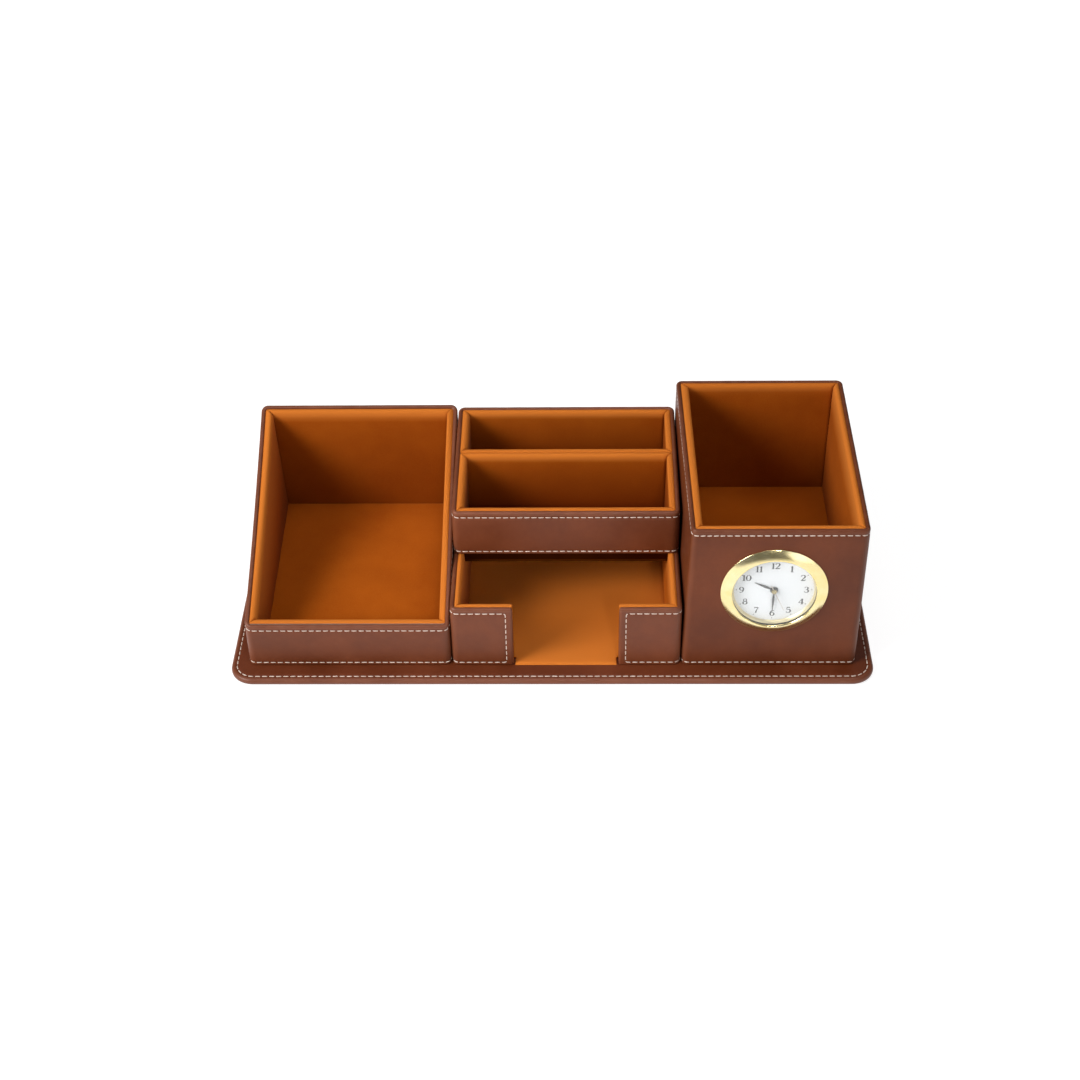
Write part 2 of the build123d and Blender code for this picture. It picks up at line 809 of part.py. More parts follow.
with BuildPart() as back_screws:
    for centre in screw_centres:
        disc(screw_radius, case_back - screw_length, case_back, centre=centre)
        disc(screw_head_radius, case_back, case_back + screw_head_height, centre=centre)
    with BuildSketch(clock_plane(case_back + screw_head_height)) as screw_slots:
        with Locations(*screw_centres):
            Rectangle(2 * screw_head_radius, screw_slot_width)
    extrude(screw_slots.sketch, amount=screw_slot_depth, mode=Mode.SUBTRACT)
save(back_screws, "back_screws")
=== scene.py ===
import math
from dataclasses import dataclass

import bmesh
import bpy
from mathutils import Matrix, Vector, noise


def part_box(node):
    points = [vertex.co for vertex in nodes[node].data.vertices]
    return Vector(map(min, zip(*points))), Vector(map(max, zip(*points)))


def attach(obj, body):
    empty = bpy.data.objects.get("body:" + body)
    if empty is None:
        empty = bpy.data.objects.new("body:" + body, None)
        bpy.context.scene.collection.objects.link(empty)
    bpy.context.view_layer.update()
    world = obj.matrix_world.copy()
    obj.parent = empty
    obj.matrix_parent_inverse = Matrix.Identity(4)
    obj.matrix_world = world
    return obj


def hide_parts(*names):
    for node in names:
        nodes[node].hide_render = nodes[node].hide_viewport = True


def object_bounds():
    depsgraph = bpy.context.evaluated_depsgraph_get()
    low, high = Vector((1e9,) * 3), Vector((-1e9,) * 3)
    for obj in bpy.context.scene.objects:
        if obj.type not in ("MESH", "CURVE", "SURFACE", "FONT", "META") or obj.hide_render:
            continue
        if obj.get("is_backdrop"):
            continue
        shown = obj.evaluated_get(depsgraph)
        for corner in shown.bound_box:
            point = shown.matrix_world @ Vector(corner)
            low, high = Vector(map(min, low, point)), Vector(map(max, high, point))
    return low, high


# The looks of a leather desk organizer. Lengths are millimetres, which MM takes to metres, apart
# from the studio and the materials, which are in metres.
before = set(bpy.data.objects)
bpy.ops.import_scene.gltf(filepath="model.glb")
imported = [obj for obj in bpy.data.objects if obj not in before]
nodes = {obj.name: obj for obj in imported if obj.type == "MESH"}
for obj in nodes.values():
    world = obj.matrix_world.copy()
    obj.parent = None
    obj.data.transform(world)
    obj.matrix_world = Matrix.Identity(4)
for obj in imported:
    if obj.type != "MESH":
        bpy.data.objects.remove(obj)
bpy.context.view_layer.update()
MM = 0.001


def held(value, low=0.0, high=1.0):
    """The value, kept inside a range."""
    return min(max(value, low), high)


def add_object(name, data):
    """Makes an object and links it into the scene."""
    made = bpy.data.objects.new(name, data)
    bpy.context.scene.collection.objects.link(made)
    return made


# --- sizes shared with the solids
@dataclass(frozen=True)
class Box:
    """One open box: its plan outline, the height it stands at and the heights of its rim."""

    left: float
    right: float
    front: float
    back: float
    bottom: float
    front_rim: float
    back_rim: float

    def rim(self, y):
        """The height of the rim at a depth y."""
        return self.front_rim + (self.back_rim - self.front_rim) * (y - self.front) / (self.back - self.front)

    def inset(self, d, bottom=None):
        """The box drawn in on all four sides, under the same rim plane."""
        return Box(
            self.left + d, self.right - d, self.front + d, self.back - d,
            self.bottom if bottom is None else bottom, self.rim(self.front + d), self.rim(self.back - d),
        )


BASE_TOP = 4.0
NOTE = Box(-146.0, -48.2, -60.0, 61.0, BASE_TOP, 29.2, 72.8)
TRAY = Box(-47.7, 62.0, -60.0, 61.0, BASE_TOP, 39.8, 39.8)
CARD = Box(-47.7, 62.0, -19.4, 61.0, 39.8, 65.5, 71.2)
PEN = Box(62.5, 146.0, -60.0, 61.0, BASE_TOP, 87.0, 87.0)
BASE = Box(-155.0, 155.0, -70.5, 70.5, 0.6, BASE_TOP, BASE_TOP)
BOX_RADIUS = 3.3
BASE_RADIUS = 11.5
WRAP = 2.3
SUEDE = 2.8
NOTCH_LEFT, NOTCH_RIGHT = -18.1, 32.4


def reach(name):
    """The two ends of a solid along each axis, in millimetres."""
    low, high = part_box(name)
    return Vector(low) / MM, Vector(high) / MM


NOTE_FLOOR = reach("note_box_floor_pad")[1].z
CARD_FLOOR = reach("card_box_front_floor_pad")[1].z
PEN_FLOOR = reach("pen_box_floor_pad")[1].z
MEMO_FLOOR = reach("memo_tray_floor_sheet")[1].z
SHELF_BOTTOM = reach("card_box_shelf")[0].z
bezel_low, bezel_high = reach("clock_bezel")
CLOCK = Vector(((bezel_low.x + bezel_high.x) / 2, PEN.front, (bezel_low.z + bezel_high.z) / 2))
CLOCK_BORE = 23.0
LENS_FRONT, LENS_BACK = (p.y - PEN.front for p in reach("clock_lens"))
DIAL_DEPTH = reach("clock_dial")[0].y - PEN.front
SECOND_FRONT = reach("second_hand")[0].y - PEN.front
MINUTE_FRONT = reach("minute_hand")[0].y - PEN.front
HOUR_FRONT = reach("hour_hand")[0].y - PEN.front


# --- materials
def new_material(name):
    """A material with an empty node tree but for its shader. Returns it, the tree and the shader."""
    material = bpy.data.materials.new(name)
    material.use_nodes = True
    tree = material.node_tree
    return material, tree, tree.nodes["Principled BSDF"]


def set_inputs(made, **inputs):
    """Sets a node's own inputs by name, with an underscore for each space."""
    for key, value in inputs.items():
        made.inputs[key.replace("_", " ")].default_value = value
    return made


def node(tree, kind, **inputs):
    """Adds a node and sets its inputs."""
    return set_inputs(tree.nodes.new(kind), **inputs)


def coordinates(tree, scale=(1.0, 1.0, 1.0)):
    """Object coordinates, which are the same as the frame's, in metres, times a scale."""
    source = tree.nodes.new("ShaderNodeTexCoord")
    mapping = node(tree, "ShaderNodeMapping", Scale=scale)
    tree.links.new(source.outputs["Object"], mapping.inputs["Vector"])
    return mapping.outputs["Vector"]


def noise_out(tree, vector, scale, detail=2.0, roughness=0.5, output="Fac"):
    texture = node(tree, "ShaderNodeTexNoise", Scale=scale, Detail=detail, Roughness=roughness)
    tree.links.new(vector, texture.inputs["Vector"])
    return texture.outputs[output]


def mix(tree, factor, a, b, blend="MIX"):
    """Mixes two colours; each may be a socket or a plain colour."""
    made = tree.nodes.new("ShaderNodeMix")
    made.data_type = "RGBA"
    made.blend_type = blend
    for index, value in ((0, factor), (6, a), (7, b)):
        if isinstance(value, bpy.types.NodeSocket):
            tree.links.new(value, made.inputs[index])
        else:
            made.inputs[index].default_value = value
    return made.outputs[2]


def ramp(tree, value, low, high, start=0.0, end=1.0):
    """Maps a value from the range low..high to start..end, held at both ends."""
    made = node(tree, "ShaderNodeMapRange", From_Min=low, From_Max=high, To_Min=start, To_Max=end)
    tree.links.new(value, made.inputs["Value"])
    return made.outputs["Result"]


def bump(tree, shader, height, strength, distance, previous=None):
    made = node(tree, "ShaderNodeBump", Strength=strength, Distance=distance)
    tree.links.new(height, made.inputs["Height"])
    if previous is not None:
        tree.links.new(previous, made.inputs["Normal"])
    tree.links.new(made.outputs["Normal"], shader.inputs["Normal"])
    return made.outputs["Normal"]


def paint(tree, shader, colour, dullness=None, **inputs):
    """Links a shader's colour and, if it varies, its roughness, and sets the shader's own inputs."""
    tree.links.new(colour, shader.inputs["Base Color"])
    if dullness is not None:
        tree.links.new(dullness, shader.inputs["Roughness"])
    set_inputs(shader, **inputs)


def attribute(tree, name):
    made = tree.nodes.new("ShaderNodeAttribute")
    made.attribute_name = name
    return made.outputs["Fac"]


def leather_material(name, deep, pale, worn_and_highlit, gloss=0.36, roughness=0.46):
    """Smooth corrected leather: fine pebbled grain, cloudy dye and paler rolled edges and corners, partly
    rubbed, partly painted highlight.
    """
    material, tree, shader = new_material(name)
    place = coordinates(tree)
    cloud = noise_out(tree, place, 42.0, 4.0, 0.6)
    speck = noise_out(tree, place, 900.0, 2.0, 0.6)
    colour = mix(tree, ramp(tree, cloud, 0.35, 0.68), deep, pale)
    colour = mix(tree, ramp(tree, speck, 0.35, 0.75, 0.0, 0.22), colour, deep)
    # Paler rolled edges and corners from the vertex attribute: partly rubbed, partly painted highlight.
    colour = mix(tree, attribute(tree, "wear_and_painted_light"), colour, worn_and_highlit)
    dullness = ramp(tree, cloud, 0.3, 0.7, roughness - 0.05, roughness + 0.08)
    paint(tree, shader, colour, dullness, Specular_IOR_Level=gloss)
    pebble = node(tree, "ShaderNodeTexVoronoi", Scale=1500.0, Randomness=1.0)
    pebble.feature = "SMOOTH_F1"
    tree.links.new(place, pebble.inputs["Vector"])
    first = bump(tree, shader, pebble.outputs["Distance"], 0.22, 0.00012)
    bump(tree, shader, noise_out(tree, place, 260.0, 3.0, 0.6), 0.10, 0.0004, first)
    return material


def suede_material(name, deep, dark, light, fleck_and_painted_light, crest):
    """Brushed microsuede: a soft pile that lies in patches, with painted highlight along the rims and painted
    shade deep in the boxes.
    """
    material, tree, shader = new_material(name)
    place = coordinates(tree)
    patches = noise_out(tree, place, 26.0, 3.0, 0.62)
    fibres = noise_out(tree, place, 1900.0, 3.0, 0.7)
    colour = mix(tree, ramp(tree, patches, 0.32, 0.7), dark, light)
    colour = mix(tree, ramp(tree, fibres, 0.38, 0.72, 0.0, 0.30), colour, fleck_and_painted_light)
    # The vertex attribute paints a highlight towards the crest colour where positive, and shade towards the
    # deep colour where negative.
    wear_and_painted_light = attribute(tree, "wear_and_painted_light")
    colour = mix(tree, ramp(tree, wear_and_painted_light, 0.0, 1.0), colour, crest)
    colour = mix(tree, ramp(tree, wear_and_painted_light, 0.0, -1.0), colour, deep)
    paint(
        tree, shader, colour, Roughness=0.95, Specular_IOR_Level=0.03, Sheen_Weight=0.03,
        Sheen_Roughness=0.45, Sheen_Tint=(1.0, 0.62, 0.30, 1.0),
    )
    first = bump(tree, shader, fibres, 0.35, 0.00018)
    bump(tree, shader, patches, 0.10, 0.0008, first)
    return material


def thread_material():
    """Waxed sewing thread with fine filaments."""
    material, tree, shader = new_material("thread_cream")
    place = coordinates(tree)
    shade = noise_out(tree, place, 700.0, 2.0)
    colour = mix(tree, ramp(tree, shade, 0.3, 0.7), (0.50, 0.40, 0.33, 1), (0.70, 0.58, 0.50, 1))
    paint(tree, shader, colour, Roughness=0.62, Sheen_Weight=0.2)
    bump(tree, shader, noise_out(tree, place, 5200.0, 2.0), 0.35, 0.00006)
    return material


def metal_material(name, colour, tone, roughness, scratch=0.04):
    """Polished or plated metal with a faint smear of handling in its gloss."""
    material, tree, shader = new_material(name)
    place = coordinates(tree)
    smear = noise_out(tree, place, 120.0, 3.0, 0.6)
    colour = mix(tree, ramp(tree, smear, 0.35, 0.7), colour, tone)
    paint(tree, shader, colour, ramp(tree, smear, 0.3, 0.7, roughness, roughness + 0.05), Metallic=1.0)
    bump(tree, shader, noise_out(tree, place, 2600.0, 2.0), scratch, 0.00003)
    return material


def plain_material(name, colour, tone, roughness, grain=1400.0, depth=0.12, specular=0.5):
    """Moulded plastic, paint, rubber, board or paper, with a fine surface of its own."""
    material, tree, shader = new_material(name)
    place = coordinates(tree)
    fine = noise_out(tree, place, grain, 3.0, 0.6)
    broad = noise_out(tree, place, 60.0, 2.0)
    colour = mix(tree, ramp(tree, broad, 0.3, 0.7), colour, tone)
    dullness = ramp(tree, fine, 0.3, 0.7, roughness - 0.04, roughness + 0.05)
    paint(tree, shader, colour, dullness, Specular_IOR_Level=specular)
    bump(tree, shader, fine, depth, 0.0001)
    return material


LEATHER = leather_material(
    "leather_box", (0.108, 0.0235, 0.0056, 1), (0.150, 0.0355, 0.0100, 1), (0.24, 0.095, 0.052, 1)
)
# The tall box's leather: a darker, less glossy copy of the box leather, painted shade.
LEATHER_PEN_SHADED = leather_material(
    "leather_tall_box_painted_shade", (0.092, 0.0195, 0.0046, 1), (0.130, 0.030, 0.0082, 1), (0.21, 0.080, 0.042, 1), 0.24
)
LEATHER_BASE = leather_material(
    "leather_base", (0.096, 0.0185, 0.0034, 1), (0.130, 0.0275, 0.0068, 1), (0.215, 0.080, 0.042, 1)
)
# Suede colours: deep (painted shade), dark, light, fibre fleck, and the crest's paler colour (painted
# highlight).
SUEDE_TAN = suede_material(
    "suede_tan_nap", (0.125, 0.020, 0.0005, 1), (0.265, 0.051, 0.0022, 1), (0.345, 0.074, 0.0042, 1),
    (0.415, 0.110, 0.012, 1), (0.52, 0.150, 0.022, 1)
)
# A near-black brown for the hidden backs of the linings and for the card box's shelf: painted shade, the
# colour of suede in deep shadow.
SHADE_BACKING = plain_material(
    "lining_back_painted_shade", (0.040, 0.0085, 0.0006, 1), (0.055, 0.012, 0.0009, 1), 0.97, 900.0, 0.3, 0.0
)
THREAD = thread_material()
GOLD_SATIN = metal_material("gold_satin", (0.84, 0.72, 0.42, 1), (0.88, 0.77, 0.48, 1), 0.30)
BEZEL_GOLD = metal_material("gold_plate", (0.86, 0.71, 0.33, 1), (0.90, 0.78, 0.46, 1), 0.17)
CAP_GOLD = metal_material("gold_satin_dark", (0.36, 0.30, 0.14, 1), (0.44, 0.36, 0.18, 1), 0.24)
BRASS = metal_material("brass_machined", (0.72, 0.53, 0.24, 1), (0.78, 0.60, 0.30, 1), 0.28, 0.10)
STEEL = metal_material("steel_bright", (0.60, 0.60, 0.61, 1), (0.70, 0.70, 0.71, 1), 0.22, 0.08)
SILVER = plain_material("hand_champagne", (0.42, 0.36, 0.30, 1), (0.50, 0.43, 0.36, 1), 0.45, 2400.0, 0.05)
DIAL = plain_material("dial_matt_white", (0.70, 0.73, 0.75, 1), (0.74, 0.76, 0.78, 1), 0.55, 3000.0, 0.03)
INK = plain_material("dial_ink", (0.018, 0.018, 0.021, 1), (0.026, 0.026, 0.029, 1), 0.5, 3000.0, 0.05)
INK_PALE = plain_material("dial_ink_grey", (0.20, 0.21, 0.23, 1), (0.26, 0.27, 0.29, 1), 0.5, 3000.0, 0.05)
LACQUER = plain_material("hand_lacquer", (0.012, 0.012, 0.013, 1), (0.02, 0.02, 0.02, 1), 0.22, 2000.0, 0.03)
BLACK = plain_material("plastic_black", (0.018, 0.018, 0.019, 1), (0.028, 0.028, 0.03, 1), 0.48, 2200.0, 0.25)
GREY = plain_material("plastic_movement", (0.42, 0.42, 0.40, 1), (0.50, 0.50, 0.47, 1), 0.5, 1800.0, 0.15)
RUBBER = plain_material("rubber_black", (0.012, 0.012, 0.012, 1), (0.02, 0.02, 0.02, 1), 0.72, 1500.0, 0.2)
BOARD = plain_material("board_grey", (0.16, 0.14, 0.12, 1), (0.20, 0.18, 0.155, 1), 0.85, 700.0, 0.5, 0.2)
CARD_FILL = plain_material("card_buff", (0.36, 0.31, 0.25, 1), (0.42, 0.37, 0.30, 1), 0.85, 700.0, 0.4, 0.2)
FELT = plain_material("felt_brown", (0.035, 0.018, 0.012, 1), (0.055, 0.028, 0.018, 1), 0.95, 900.0, 0.9, 0.1)


def glass_material():
    """Thin clear mineral glass, nearly unseen but for its gloss."""
    material, tree, shader = new_material("glass_clear")
    place = coordinates(tree)
    dust = noise_out(tree, place, 300.0, 3.0)
    paint(tree, shader, mix(tree, dust, (0.96, 0.98, 0.98, 1), (1, 1, 1, 1)), Roughness=0.03, Alpha=0.07)
    return material


GLASS = glass_material()


# --- mesh helpers
NOTE_LEAN, PEN_LEAN = 2.6, 2.2


def note_lean(p):
    """The note box's back left corner stands out a little at the top."""
    up = (p.z - NOTE.bottom) / (NOTE.back_rim - NOTE.bottom)
    back = (p.y - NOTE.front) / (NOTE.back - NOTE.front)
    left = (NOTE.right - p.x) / (NOTE.right - NOTE.left)
    return Vector((p.x - NOTE_LEAN * held(up) * held(back) * held(left), p.y, p.z))


def pen_lean(p):
    """The pen box's front left corner stands in a little at the top, clear of the clock's bore."""
    up = (p.z - PEN.bottom) / (PEN.back_rim - PEN.bottom)
    front = (PEN.back - p.y) / (PEN.back - PEN.front)
    edge = CLOCK.x - CLOCK_BORE - 1.0
    left = (edge - p.x) / (edge - PEN.left)
    return Vector((p.x + PEN_LEAN * held(up) * held(front) * held(left), p.y, p.z))


LEANS = {"note": note_lean, "pen": pen_lean}


def piece(name, verts, faces, material, body="organizer", wear_and_painted_light=None, sharp=None):
    """Makes a mesh piece from points in millimetres, smooth shaded, riding on a body."""
    lean = LEANS.get(name.split("_")[0])
    if lean:
        verts = [lean(v) for v in verts]
    mesh = bpy.data.meshes.new(name)
    mesh.from_pydata([(v[0] * MM, v[1] * MM, v[2] * MM) for v in verts], [], faces)
    mesh.materials.append(material)
    mesh.shade_smooth()
    if sharp is not None:
        mesh.set_sharp_from_angle(angle=math.radians(sharp))
    # A vertex attribute that the leather and suede shaders paint from: on leather rubbed edges with painted
    # highlight, on suede painted highlight and painted shade.
    if wear_and_painted_light is not None:
        mesh.attributes.new("wear_and_painted_light", "FLOAT", "POINT").data.foreach_set("value", wear_and_painted_light)
    made = add_object(name, mesh)
    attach(made, body)
    return made


def finish_as(made, node_name=None):
    """Hides the solid that a piece stands for, if it has one, and returns the piece."""
    if node_name is not None:
        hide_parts(node_name)
    return made


def recalculate(obj):
    """Turns every face outwards."""
    work = bmesh.new()
    work.from_mesh(obj.data)
    bmesh.ops.recalc_face_normals(work, faces=work.faces)
    work.to_mesh(obj.data)
    work.free()
    return obj


def skin(count, rows, start=0, ring=False, tube=False, back=False):
    """The quads between lines of points that are stored one after another. A ring joins the last
    line to the first, a tube joins each line's end to its start, and back turns the quads round."""
    faces = []
    for i in range(count if ring else count - 1):
        a, b = start + i * rows, start + (i + 1) % count * rows
        for j in range(rows if tube else rows - 1):
            k = (j + 1) % rows
            faces.append((a + j, a + k, b + k, b + j) if back else (a + j, b + j, b + k, a + k))
    return faces


def caps(count, rows, start=0):
    """The two end faces of a tube."""
    last = start + (count - 1) * rows
    return [tuple(start + j for j in reversed(range(rows))), tuple(last + j for j in range(rows))]


class Track:
    """A path in plan made of straight runs and round corners, with its outward normal."""

    def __init__(self, corners, radii):
        self.parts = []
        self.length = 0.0
        here = Vector(corners[0])
        for index in range(1, len(corners)):
            corner = Vector(corners[index])
            ahead = (corner - Vector(corners[index - 1])).normalized()
            radius = radii[index] if index < len(corners) - 1 else 0.0
            end = corner - ahead * radius
            self._add("line", (end - here).length, here, ahead, 0.0, 0.0)
            here = end
            if radius > 0:
                turned = (Vector(corners[index + 1]) - corner).normalized()
                side = 1.0 if ahead.x * turned.y - ahead.y * turned.x > 0 else -1.0
                self._add("arc", radius * math.pi / 2, here, ahead, radius, side)
                here = corner + turned * radius

    def _add(self, kind, length, start, ahead, radius, side):
        self.parts.append((self.length, kind, start, ahead, radius, side))
        self.length += length

    def at(self, s):
        """(point, outward normal) at a length along the path."""
        s = held(s, 0.0, self.length)
        begin, kind, start, ahead, radius, side = [p for p in self.parts if p[0] <= s + 1e-9][-1]
        if kind == "line":
            return start + ahead * (s - begin), Vector((ahead.y, -ahead.x))
        angle = (s - begin) / radius * side
        left = Vector((-ahead.y, ahead.x)) * side
        centre = start + left * radius
        turn = Matrix.Rotation(angle, 2)
        return centre + turn @ (start - centre), turn @ Vector((ahead.y, -ahead.x))


def around(box, radius):
    """The closed path round a box, from the middle of its back."""
    middle = (box.left + box.right) / 2
    corners = [
        (middle, box.back), (box.left, box.back), (box.left, box.front), (box.right, box.front),
        (box.right, box.back), (middle, box.back),
    ]
    return Track(corners, [0, radius, radius, radius, radius, 0])


def spread(length, step):
    """Evenly spaced places along a length, both ends included."""
    count = max(2, round(length / step))
    return [length * i / count for i in range(count + 1)]


def running_lengths(points):
    """How far along a closed line each of its points is, and the whole length last."""
    lengths = [0.0]
    for i in range(len(points)):
        lengths.append(lengths[-1] + (points[(i + 1) % len(points)] - points[i]).length)
    return lengths


def soft_noise(p, size, seed=0.0):
    return noise.noise(Vector((p[0] / size + seed, p[1] / size - seed, p[2] / size + 2 * seed)))


# --- stitching
STITCH_PITCH = 3.4
STITCH_SHARE = 0.84
THREAD_RADIUS = 0.27
RINGS, SIDES = 11, 8


def sew(name, points, normals):
    """A closed row of stitches along a line of points: short twisted threads that dip in at both ends."""
    count = len(points)
    lengths = running_lengths(points)
    total = lengths[-1]
    stitches = max(1, round(total / STITCH_PITCH))
    pitch = total / stitches
    half = pitch * STITCH_SHARE / 2
    verts, faces = [], []
    cursor = 0

    def sample(s):
        nonlocal cursor
        s = s % total
        if lengths[cursor] > s:
            cursor = 0
        while cursor < len(lengths) - 2 and lengths[cursor + 1] < s:
            cursor += 1
        share = (s - lengths[cursor]) / max(lengths[cursor + 1] - lengths[cursor], 1e-9)
        a, b = cursor % count, (cursor + 1) % count
        return points[a].lerp(points[b], share), normals[a].lerp(normals[b], share).normalized()

    for k in range(stitches):
        middle = (k + 0.5) * pitch
        slant = 0.05 * math.sin(k * 12.9898)
        base = len(verts)
        for ring in range(RINGS):
            x = 2 * ring / (RINGS - 1) - 1
            here, normal = sample(middle + x * half)
            ahead, _ = sample(middle + x * half + 0.1)
            tangent = (ahead - here).normalized()
            across = normal.cross(tangent).normalized()
            height = -0.05 * x * x - 0.42 * x ** 8
            here = here + normal * height + across * slant * x
            radius = THREAD_RADIUS * (1 - 0.22 * x ** 6)
            for side in range(SIDES):
                angle = 2 * math.pi * side / SIDES
                ply = 1 + 0.09 * math.cos(2 * angle - 3.6 * x * half)
                offset = (across * math.cos(angle) + normal * math.sin(angle) * 0.86) * radius * ply
                verts.append(here + offset)
        faces += skin(RINGS, SIDES, base, tube=True, back=True) + caps(RINGS, SIDES, base)
    return finish_as(piece(name, verts, faces, THREAD))


# --- leather covers
ROLL = WRAP / 2
TOP_SEAM = 3.05
BOTTOM_SEAM = 1.7
SEAM_END = 3.3
TOP_ROWS = (1.45, 1.9, 2.3, 2.6, 2.85, 3.05, 3.25, 3.5, 3.9, 4.5, 5.4)
BOTTOM_ROWS = (3.8, 3.0, 2.5, 2.15, 1.9, 1.7, 1.5, 1.2, 0.8)
MIDDLE_ROWS = 11
ROLL_STEPS = 8
ROLL_CREST = 6  # the profile row at the top of the roll
END_STEP = 0.35
END_TURNS = 8  # steps round a cover's end at the notch
# The most that leather is painted paler: rubbing and painted highlight together.
MOST_WEAR_AND_HIGHLIGHT = 0.9
STITCH_DEPTH = 0.20
COVER_STEP, SEAM_STEP = 0.85, 0.4


def needle_phase(s, length, stitches):
    """A wave along a seam, at its top at each needle hole."""
    return 0.5 + 0.5 * math.cos(2 * math.pi * s / length * stitches)


def seam_dip(distance, phase):
    """How far leather is drawn in near a seam, with a pucker at each needle hole."""
    return 0.22 * math.exp(-((distance / 0.5) ** 2)) + 0.09 * math.exp(-((distance / 1.0) ** 2)) * phase


def profile(box, y):
    """The rows of a cover's cross-section: (offset from the wall's middle, height, kind)."""
    rim, bottom = box.rim(y), box.bottom
    rows = [(-ROLL, rim - 3.6, "hidden"), (-ROLL, rim - ROLL - 0.4, "hidden")]
    for k in range(ROLL_STEPS + 1):
        angle = math.pi - math.pi * k / ROLL_STEPS
        rows.append((ROLL * math.cos(angle), rim - ROLL + ROLL * math.sin(angle), "roll"))
    rows += [(ROLL, rim - drop, "face") for drop in TOP_ROWS]
    high, low = rim - TOP_ROWS[-1], bottom + BOTTOM_ROWS[0]
    rows += [(ROLL, high + (low - high) * k / (MIDDLE_ROWS + 1), "face") for k in range(1, MIDDLE_ROWS + 1)]
    rows += [(ROLL, bottom + rise, "face") for rise in BOTTOM_ROWS]
    rows += [(ROLL - 0.12, bottom + 0.35, "foot"), (ROLL - 0.5, bottom + 0.05, "foot")]
    return rows + [(-ROLL, bottom + 0.05, "hidden")]


def leather_cover(name, box, track, places, seam_distance, phase, closed):
    """The leather on a box, from behind its rim, over the rolled edge and down to its foot."""
    verts, wear_and_painted_light = [], []

    def column(middle, normal, s, end=0.0):
        y = held(middle.y + normal.y * ROLL, box.front, box.back)
        for offset, z, kind in profile(box, y):
            point = Vector((middle.x + normal.x * offset, middle.y + normal.y * offset, z))
            out = Vector((normal.x, normal.y, 0))
            move, pale = 0.0, 0.0
            if kind == "face":
                drop, rise = box.rim(y) - z, z - box.bottom
                move = -seam_dip(seam_distance(s, drop, rise), phase(s)) * (1 - end)
                swell = min(1.0, drop / 9.0, rise / 7.0)
                move += 0.10 * swell + 0.07 * soft_noise(point, 17.0, 3.1)
                move += 0.03 * soft_noise(point, 6.0, 7.7)
                pale = 0.30 * math.exp(-((drop - 1.2) / 0.7) ** 2)
            elif kind == "roll":
                move = 0.05 * soft_noise(point, 5.0, 1.7)
                pale = 0.16 + 0.14 * soft_noise(point, 4.0, 9.2)
                out = Vector((normal.x * offset / ROLL, normal.y * offset / ROLL, 0.6))
            # The band under the roll, the roll and the corners are painted paler: partly rubbed, partly
            # painted highlight.
            corner = 1 - max(abs(normal.x), abs(normal.y))
            pale += 1.0 * corner if kind == "face" else 0.4 * corner
            verts.append(point + out * move)
            wear_and_painted_light.append(held(pale + 0.05 * soft_noise(point, 2.5, 4.4), 0.0, MOST_WEAR_AND_HIGHLIGHT))

    rows = len(profile(box, box.front))
    for s in places:
        point, normal = track.at(s)
        column(point - normal * ROLL, normal, s)
    faces = skin(len(places), rows, ring=closed)
    if not closed:
        for s, way in ((places[0], -1), (places[-1], 1)):
            point, normal = track.at(s)
            start = len(verts)
            for k in range(END_TURNS + 1):
                turned = Matrix.Rotation(way * math.pi * k / END_TURNS, 2) @ normal
                column(point - normal * ROLL, turned, s, k / END_TURNS)
            for i in range(END_TURNS):
                a, b = start + i * rows, start + (i + 1) * rows
                for j in range(ROLL_CREST, rows - 1):
                    quad = (a + j, b + j, b + j + 1, a + j + 1)
                    faces.append(quad if way > 0 else quad[::-1])
    # The pen box takes the darker copy of the leather: painted shade.
    material = LEATHER_PEN_SHADED if name.startswith("pen") else LEATHER
    return finish_as(piece(name, verts, faces, material, wear_and_painted_light=wear_and_painted_light))


def box_cover(name, node_name, box):
    """A closed box's cover with a row of stitches under its rim and another over its foot."""
    track = around(box, BOX_RADIUS)
    places = spread(track.length, COVER_STEP)[:-1]
    heights = {"top": lambda y: box.rim(y) - TOP_SEAM, "bottom": lambda y: box.bottom + BOTTOM_SEAM}
    lines = {}
    for line, height in heights.items():
        points, normals = [], []
        for point, normal in (track.at(s) for s in spread(track.length, SEAM_STEP)[:-1]):
            points.append(Vector((point.x, point.y, height(point.y))))
            normals.append(Vector((normal.x, normal.y, 0.0)))
        lines[line] = (points, normals)
    top = lines["top"][0]
    run = running_lengths(top)
    stitches = round(run[-1] / STITCH_PITCH)

    def phase(s):
        index = s / track.length * len(top)
        low = int(index)
        here = run[low] + (run[min(low + 1, len(top))] - run[low]) * (index - low)
        return needle_phase(here, run[-1], stitches)

    def seam(s, drop, rise):
        return min(abs(drop - TOP_SEAM), abs(rise - BOTTOM_SEAM))

    cover = leather_cover(name, box, track, places, seam, phase, True)
    for line, (points, normals) in lines.items():
        sew(f"{name}_stitch_{line}", [p - n * STITCH_DEPTH for p, n in zip(points, normals)], normals)
    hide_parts(node_name)
    return cover


box_cover("note_leather", "note_box_cover", NOTE)
box_cover("card_leather", "card_box_cover", CARD)
pen_cover = box_cover("pen_leather", "pen_box_cover", PEN)


